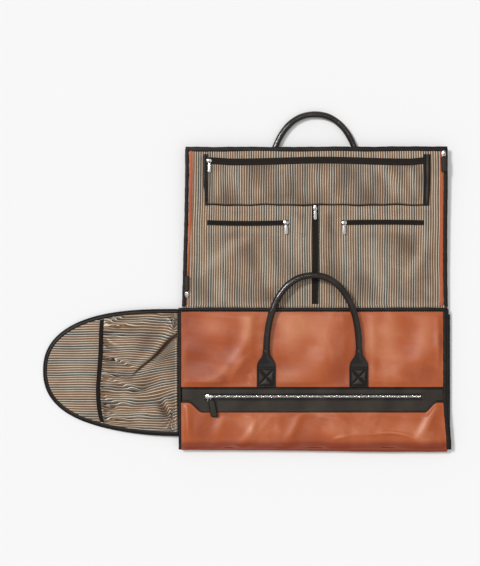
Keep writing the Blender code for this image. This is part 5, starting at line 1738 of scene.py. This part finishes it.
def build_leather_pull(name, panel, lean):
    """A leather tab with a stitched rim, folded over a wire loop that hangs from the bridge."""
    low, high = panel.box(f"{name}_pull")
    end, half = low[1], (high[0] - low[0]) / 2
    t = np.linspace(0, 2 * math.pi, 41)[:-1]
    c, s = np.cos(t), np.sin(t)
    loop_half = min(half - 0.0024, 0.0046)
    neck = 0.0024 + (loop_half - 0.0024) * smooth(-(s - 0.2))
    eye = np.stack([signed_power(c, 0.5) * neck, -0.0048 + signed_power(s, 0.6) * 0.0048, 0 * t], -1)
    loop = rod("loop", panel, eye, 0.0007, material("chrome"), closed=True)
    loop.name = f"{name}_pull_loop"
    put(loop, f"{name}_pull", "chrome")
    y_range = (end, -0.0070)
    width = round_end(half, y_range, 0.0034)

    # Painted highlight over the middle of the tab, darker towards its rim.
    def painted_highlight_and_rub(u, y):
        rim = np.minimum((1 - np.abs(u)) * half, np.minimum(y - y_range[0], y_range[1] - y))
        return 0.65 - 1.15 * bell(rim, 0.0017)

    if name == "left_side":
        width = round_end(half - 0.0022, y_range, 0.0022)
    if name == "front_pocket":
        panel = Panel(panel.place(np.array([0.0042, 0.0, 0.0])), panel.u, panel.v)
    tab = outline_plate(f"{name}_pull_leather", panel, width, y_range, -0.0004, 0.0024, material("black"),
                        count=44, across=18, lean=lean, radius=0.0009, bulge=0.0005, wear=painted_highlight_and_rub)
    put(tab, f"{name}_pull", "black_leather", f"{name}_pull")
    inset = 0.0019
    ring = []
    for x0, y0 in ((-1, 0), (-1, 1), (1, 1), (1, 0), (-1, 0)):
        y = y_range[1] - inset if y0 == 0 else y_range[0] + inset
        ring.append((x0 * (half - inset) + lean * (y_range[1] - y), y, 0.00215))
    stitches(f"{name}_pull_stitches", panel, np.array(ring), f"{name}_pull", width=0.0006)


def build_sliders():
    """Seven sliders with their pulls."""
    for name, along_x in (("top_pocket", True), ("left_pocket", True), ("right_pocket", True),
                          ("garment", False)):
        build_metal_pull(name, build_slider(name, along_x))
    for name, along_x, lean in (("front_pocket", True, 0.19), ("left_side", False, 0.0),
                                ("right_side", False, 0.03)):
        build_leather_pull(name, build_slider(name, along_x), lean)


# ---- stage ------------------------------------------------------------------------------------------
def build_stage():
    """Pale floor, even studio light with a soft key from the left, and a camera straight above."""
    half = 6.0
    x, y = np.meshgrid(np.linspace(-half, half, 3), np.linspace(-half, half, 3), indexing="xy")
    made = bpy.data.materials.new("stage_floor")
    made.use_nodes = True
    shader = made.node_tree.nodes["Principled BSDF"]
    shader.inputs["Base Color"].default_value = (0.93, 0.93, 0.93, 1.0)
    shader.inputs["Roughness"].default_value = 0.9
    mesh = bpy.data.meshes.new("floor")
    corners = np.stack([x, y, 0 * x - 0.0002], -1).reshape(-1, 3)
    mesh.from_pydata(corners.tolist(), [], quads_of(3, 3).tolist())
    mesh.materials.append(made)
    floor = bpy.data.objects.new("floor", mesh)
    bpy.context.scene.collection.objects.link(floor)
    world = bpy.data.worlds.new("studio")
    world.use_nodes = True
    world.node_tree.nodes["Background"].inputs["Color"].default_value = (1.0, 1.0, 1.0, 1.0)
    world.node_tree.nodes["Background"].inputs["Strength"].default_value = 0.40
    bpy.context.scene.world = world
    bpy.context.scene.view_settings.view_transform = "Standard"
    for name, toward, angle, energy in (("key", (-0.62, 0.40, 1.0), 12.0, 1.75),
                                        ("top", (-0.10, 0.16, 1.0), 7.0, 0.35), ("fill", (0.5, -0.5, 1.0),
                                                                                 60.0, 0.2)):
        lamp = bpy.data.lights.new(name, "SUN")
        lamp.angle = math.radians(angle)
        lamp.energy = energy
        light = bpy.data.objects.new(name, lamp)
        bpy.context.scene.collection.objects.link(light)
        light.rotation_euler = Vector(toward).to_track_quat("Z", "Y").to_euler()
    camera = bpy.data.cameras.new("camera")
    view = bpy.data.objects.new("camera", camera)
    bpy.context.scene.collection.objects.link(view)
    distance, seen = 2.6, 1.194
    camera.sensor_width = 36.0
    camera.lens = 36.0 * distance / seen
    view.location = (-0.01595, -0.00669, distance + 0.015)
    bpy.context.scene.camera = view


# ---- operators --------------------------------------------------------------------------------------
class DUFFEL_OT_bottom(bpy.types.Operator):
    """Build the bottom with its side bindings and hinge strips."""

    bl_idname = "duffel.bottom"
    bl_label = "Bottom"

    def execute(self, context):
        build_bottom()
        build_front_fold()
        return {"FINISHED"}


class DUFFEL_OT_front(bpy.types.Operator):
    """Build the front panel: skins, dark band with its zip, linings and bindings."""

    bl_idname = "duffel.front"
    bl_label = "Front panel"

    def execute(self, context):
        build_front_skins()
        build_band()
        build_front_linings()
        build_front_bindings()
        return {"FINISHED"}


class DUFFEL_OT_handles(bpy.types.Operator):
    """Build both handles with their stitched feet."""

    bl_idname = "duffel.handles"
    bl_label = "Handles"

    def execute(self, context):
        build_front_handle()
        build_back_handle()
        return {"FINISHED"}


class DUFFEL_OT_back(bpy.types.Operator):
    """Build the back panel: skin, striped lining, pockets, zips and bindings."""

    bl_idname = "duffel.back"
    bl_label = "Back panel"

    def execute(self, context):
        build_back_sheets()
        build_top_pocket()
        build_lining_zips()
        return {"FINISHED"}


class DUFFEL_OT_ends(bpy.types.Operator):
    """Build the two end panels and the gathered pocket."""

    bl_idname = "duffel.ends"
    bl_label = "End panels"

    def execute(self, context):
        build_end("left", LEFT, "left_end", 101)
        build_shoe_pocket()
        build_end("right", RIGHT, "right_end", 111)
        return {"FINISHED"}


class DUFFEL_OT_sliders(bpy.types.Operator):
    """Build the zip sliders and their pulls."""

    bl_idname = "duffel.sliders"
    bl_label = "Sliders and pulls"

    def execute(self, context):
        build_sliders()
        return {"FINISHED"}


class DUFFEL_OT_stage(bpy.types.Operator):
    """Build the floor, the lights and the camera."""

    bl_idname = "duffel.stage"
    bl_label = "Stage"

    def execute(self, context):
        build_stage()
        return {"FINISHED"}


STEPS = (DUFFEL_OT_bottom, DUFFEL_OT_front, DUFFEL_OT_handles, DUFFEL_OT_back, DUFFEL_OT_ends,
         DUFFEL_OT_sliders, DUFFEL_OT_stage)
SETTINGS = (("duffel_leather", DuffelLeather), ("duffel_cloth", DuffelCloth), ("duffel_trim", DuffelTrim))


class DUFFEL_PT_panel(bpy.types.Panel):
    """Lists the steps that build the bag, and its settings."""

    bl_idname = "DUFFEL_PT_panel"
    bl_label = "Garment Duffel"
    bl_space_type = "VIEW_3D"
    bl_region_type = "UI"
    bl_category = "Duffel"

    def draw(self, context):
        for step in STEPS:
            self.layout.operator(step.bl_idname)
        for name, group in SETTINGS:
            settings = getattr(context.scene, name)
            for key in group.__annotations__:
                self.layout.prop(settings, key)


def register():
    """Register the classes and hang the settings on the scene."""
    for name, group in SETTINGS:
        bpy.utils.register_class(group)
        setattr(bpy.types.Scene, name, bpy.props.PointerProperty(type=group))
    for step in (*STEPS, DUFFEL_PT_panel):
        bpy.utils.register_class(step)


def unregister():
    """Take the classes and the settings away again."""
    for step in reversed((*STEPS, DUFFEL_PT_panel)):
        bpy.utils.unregister_class(step)
    for name, group in reversed(SETTINGS):
        delattr(bpy.types.Scene, name)
        bpy.utils.unregister_class(group)


def main():
    """Build everything in order."""
    register()
    bpy.ops.duffel.bottom()
    bpy.ops.duffel.front()
    bpy.ops.duffel.handles()
    bpy.ops.duffel.back()
    bpy.ops.duffel.ends()
    bpy.ops.duffel.sliders()
    bpy.ops.duffel.stage()
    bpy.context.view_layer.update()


if __name__ == "__main__":
    main()
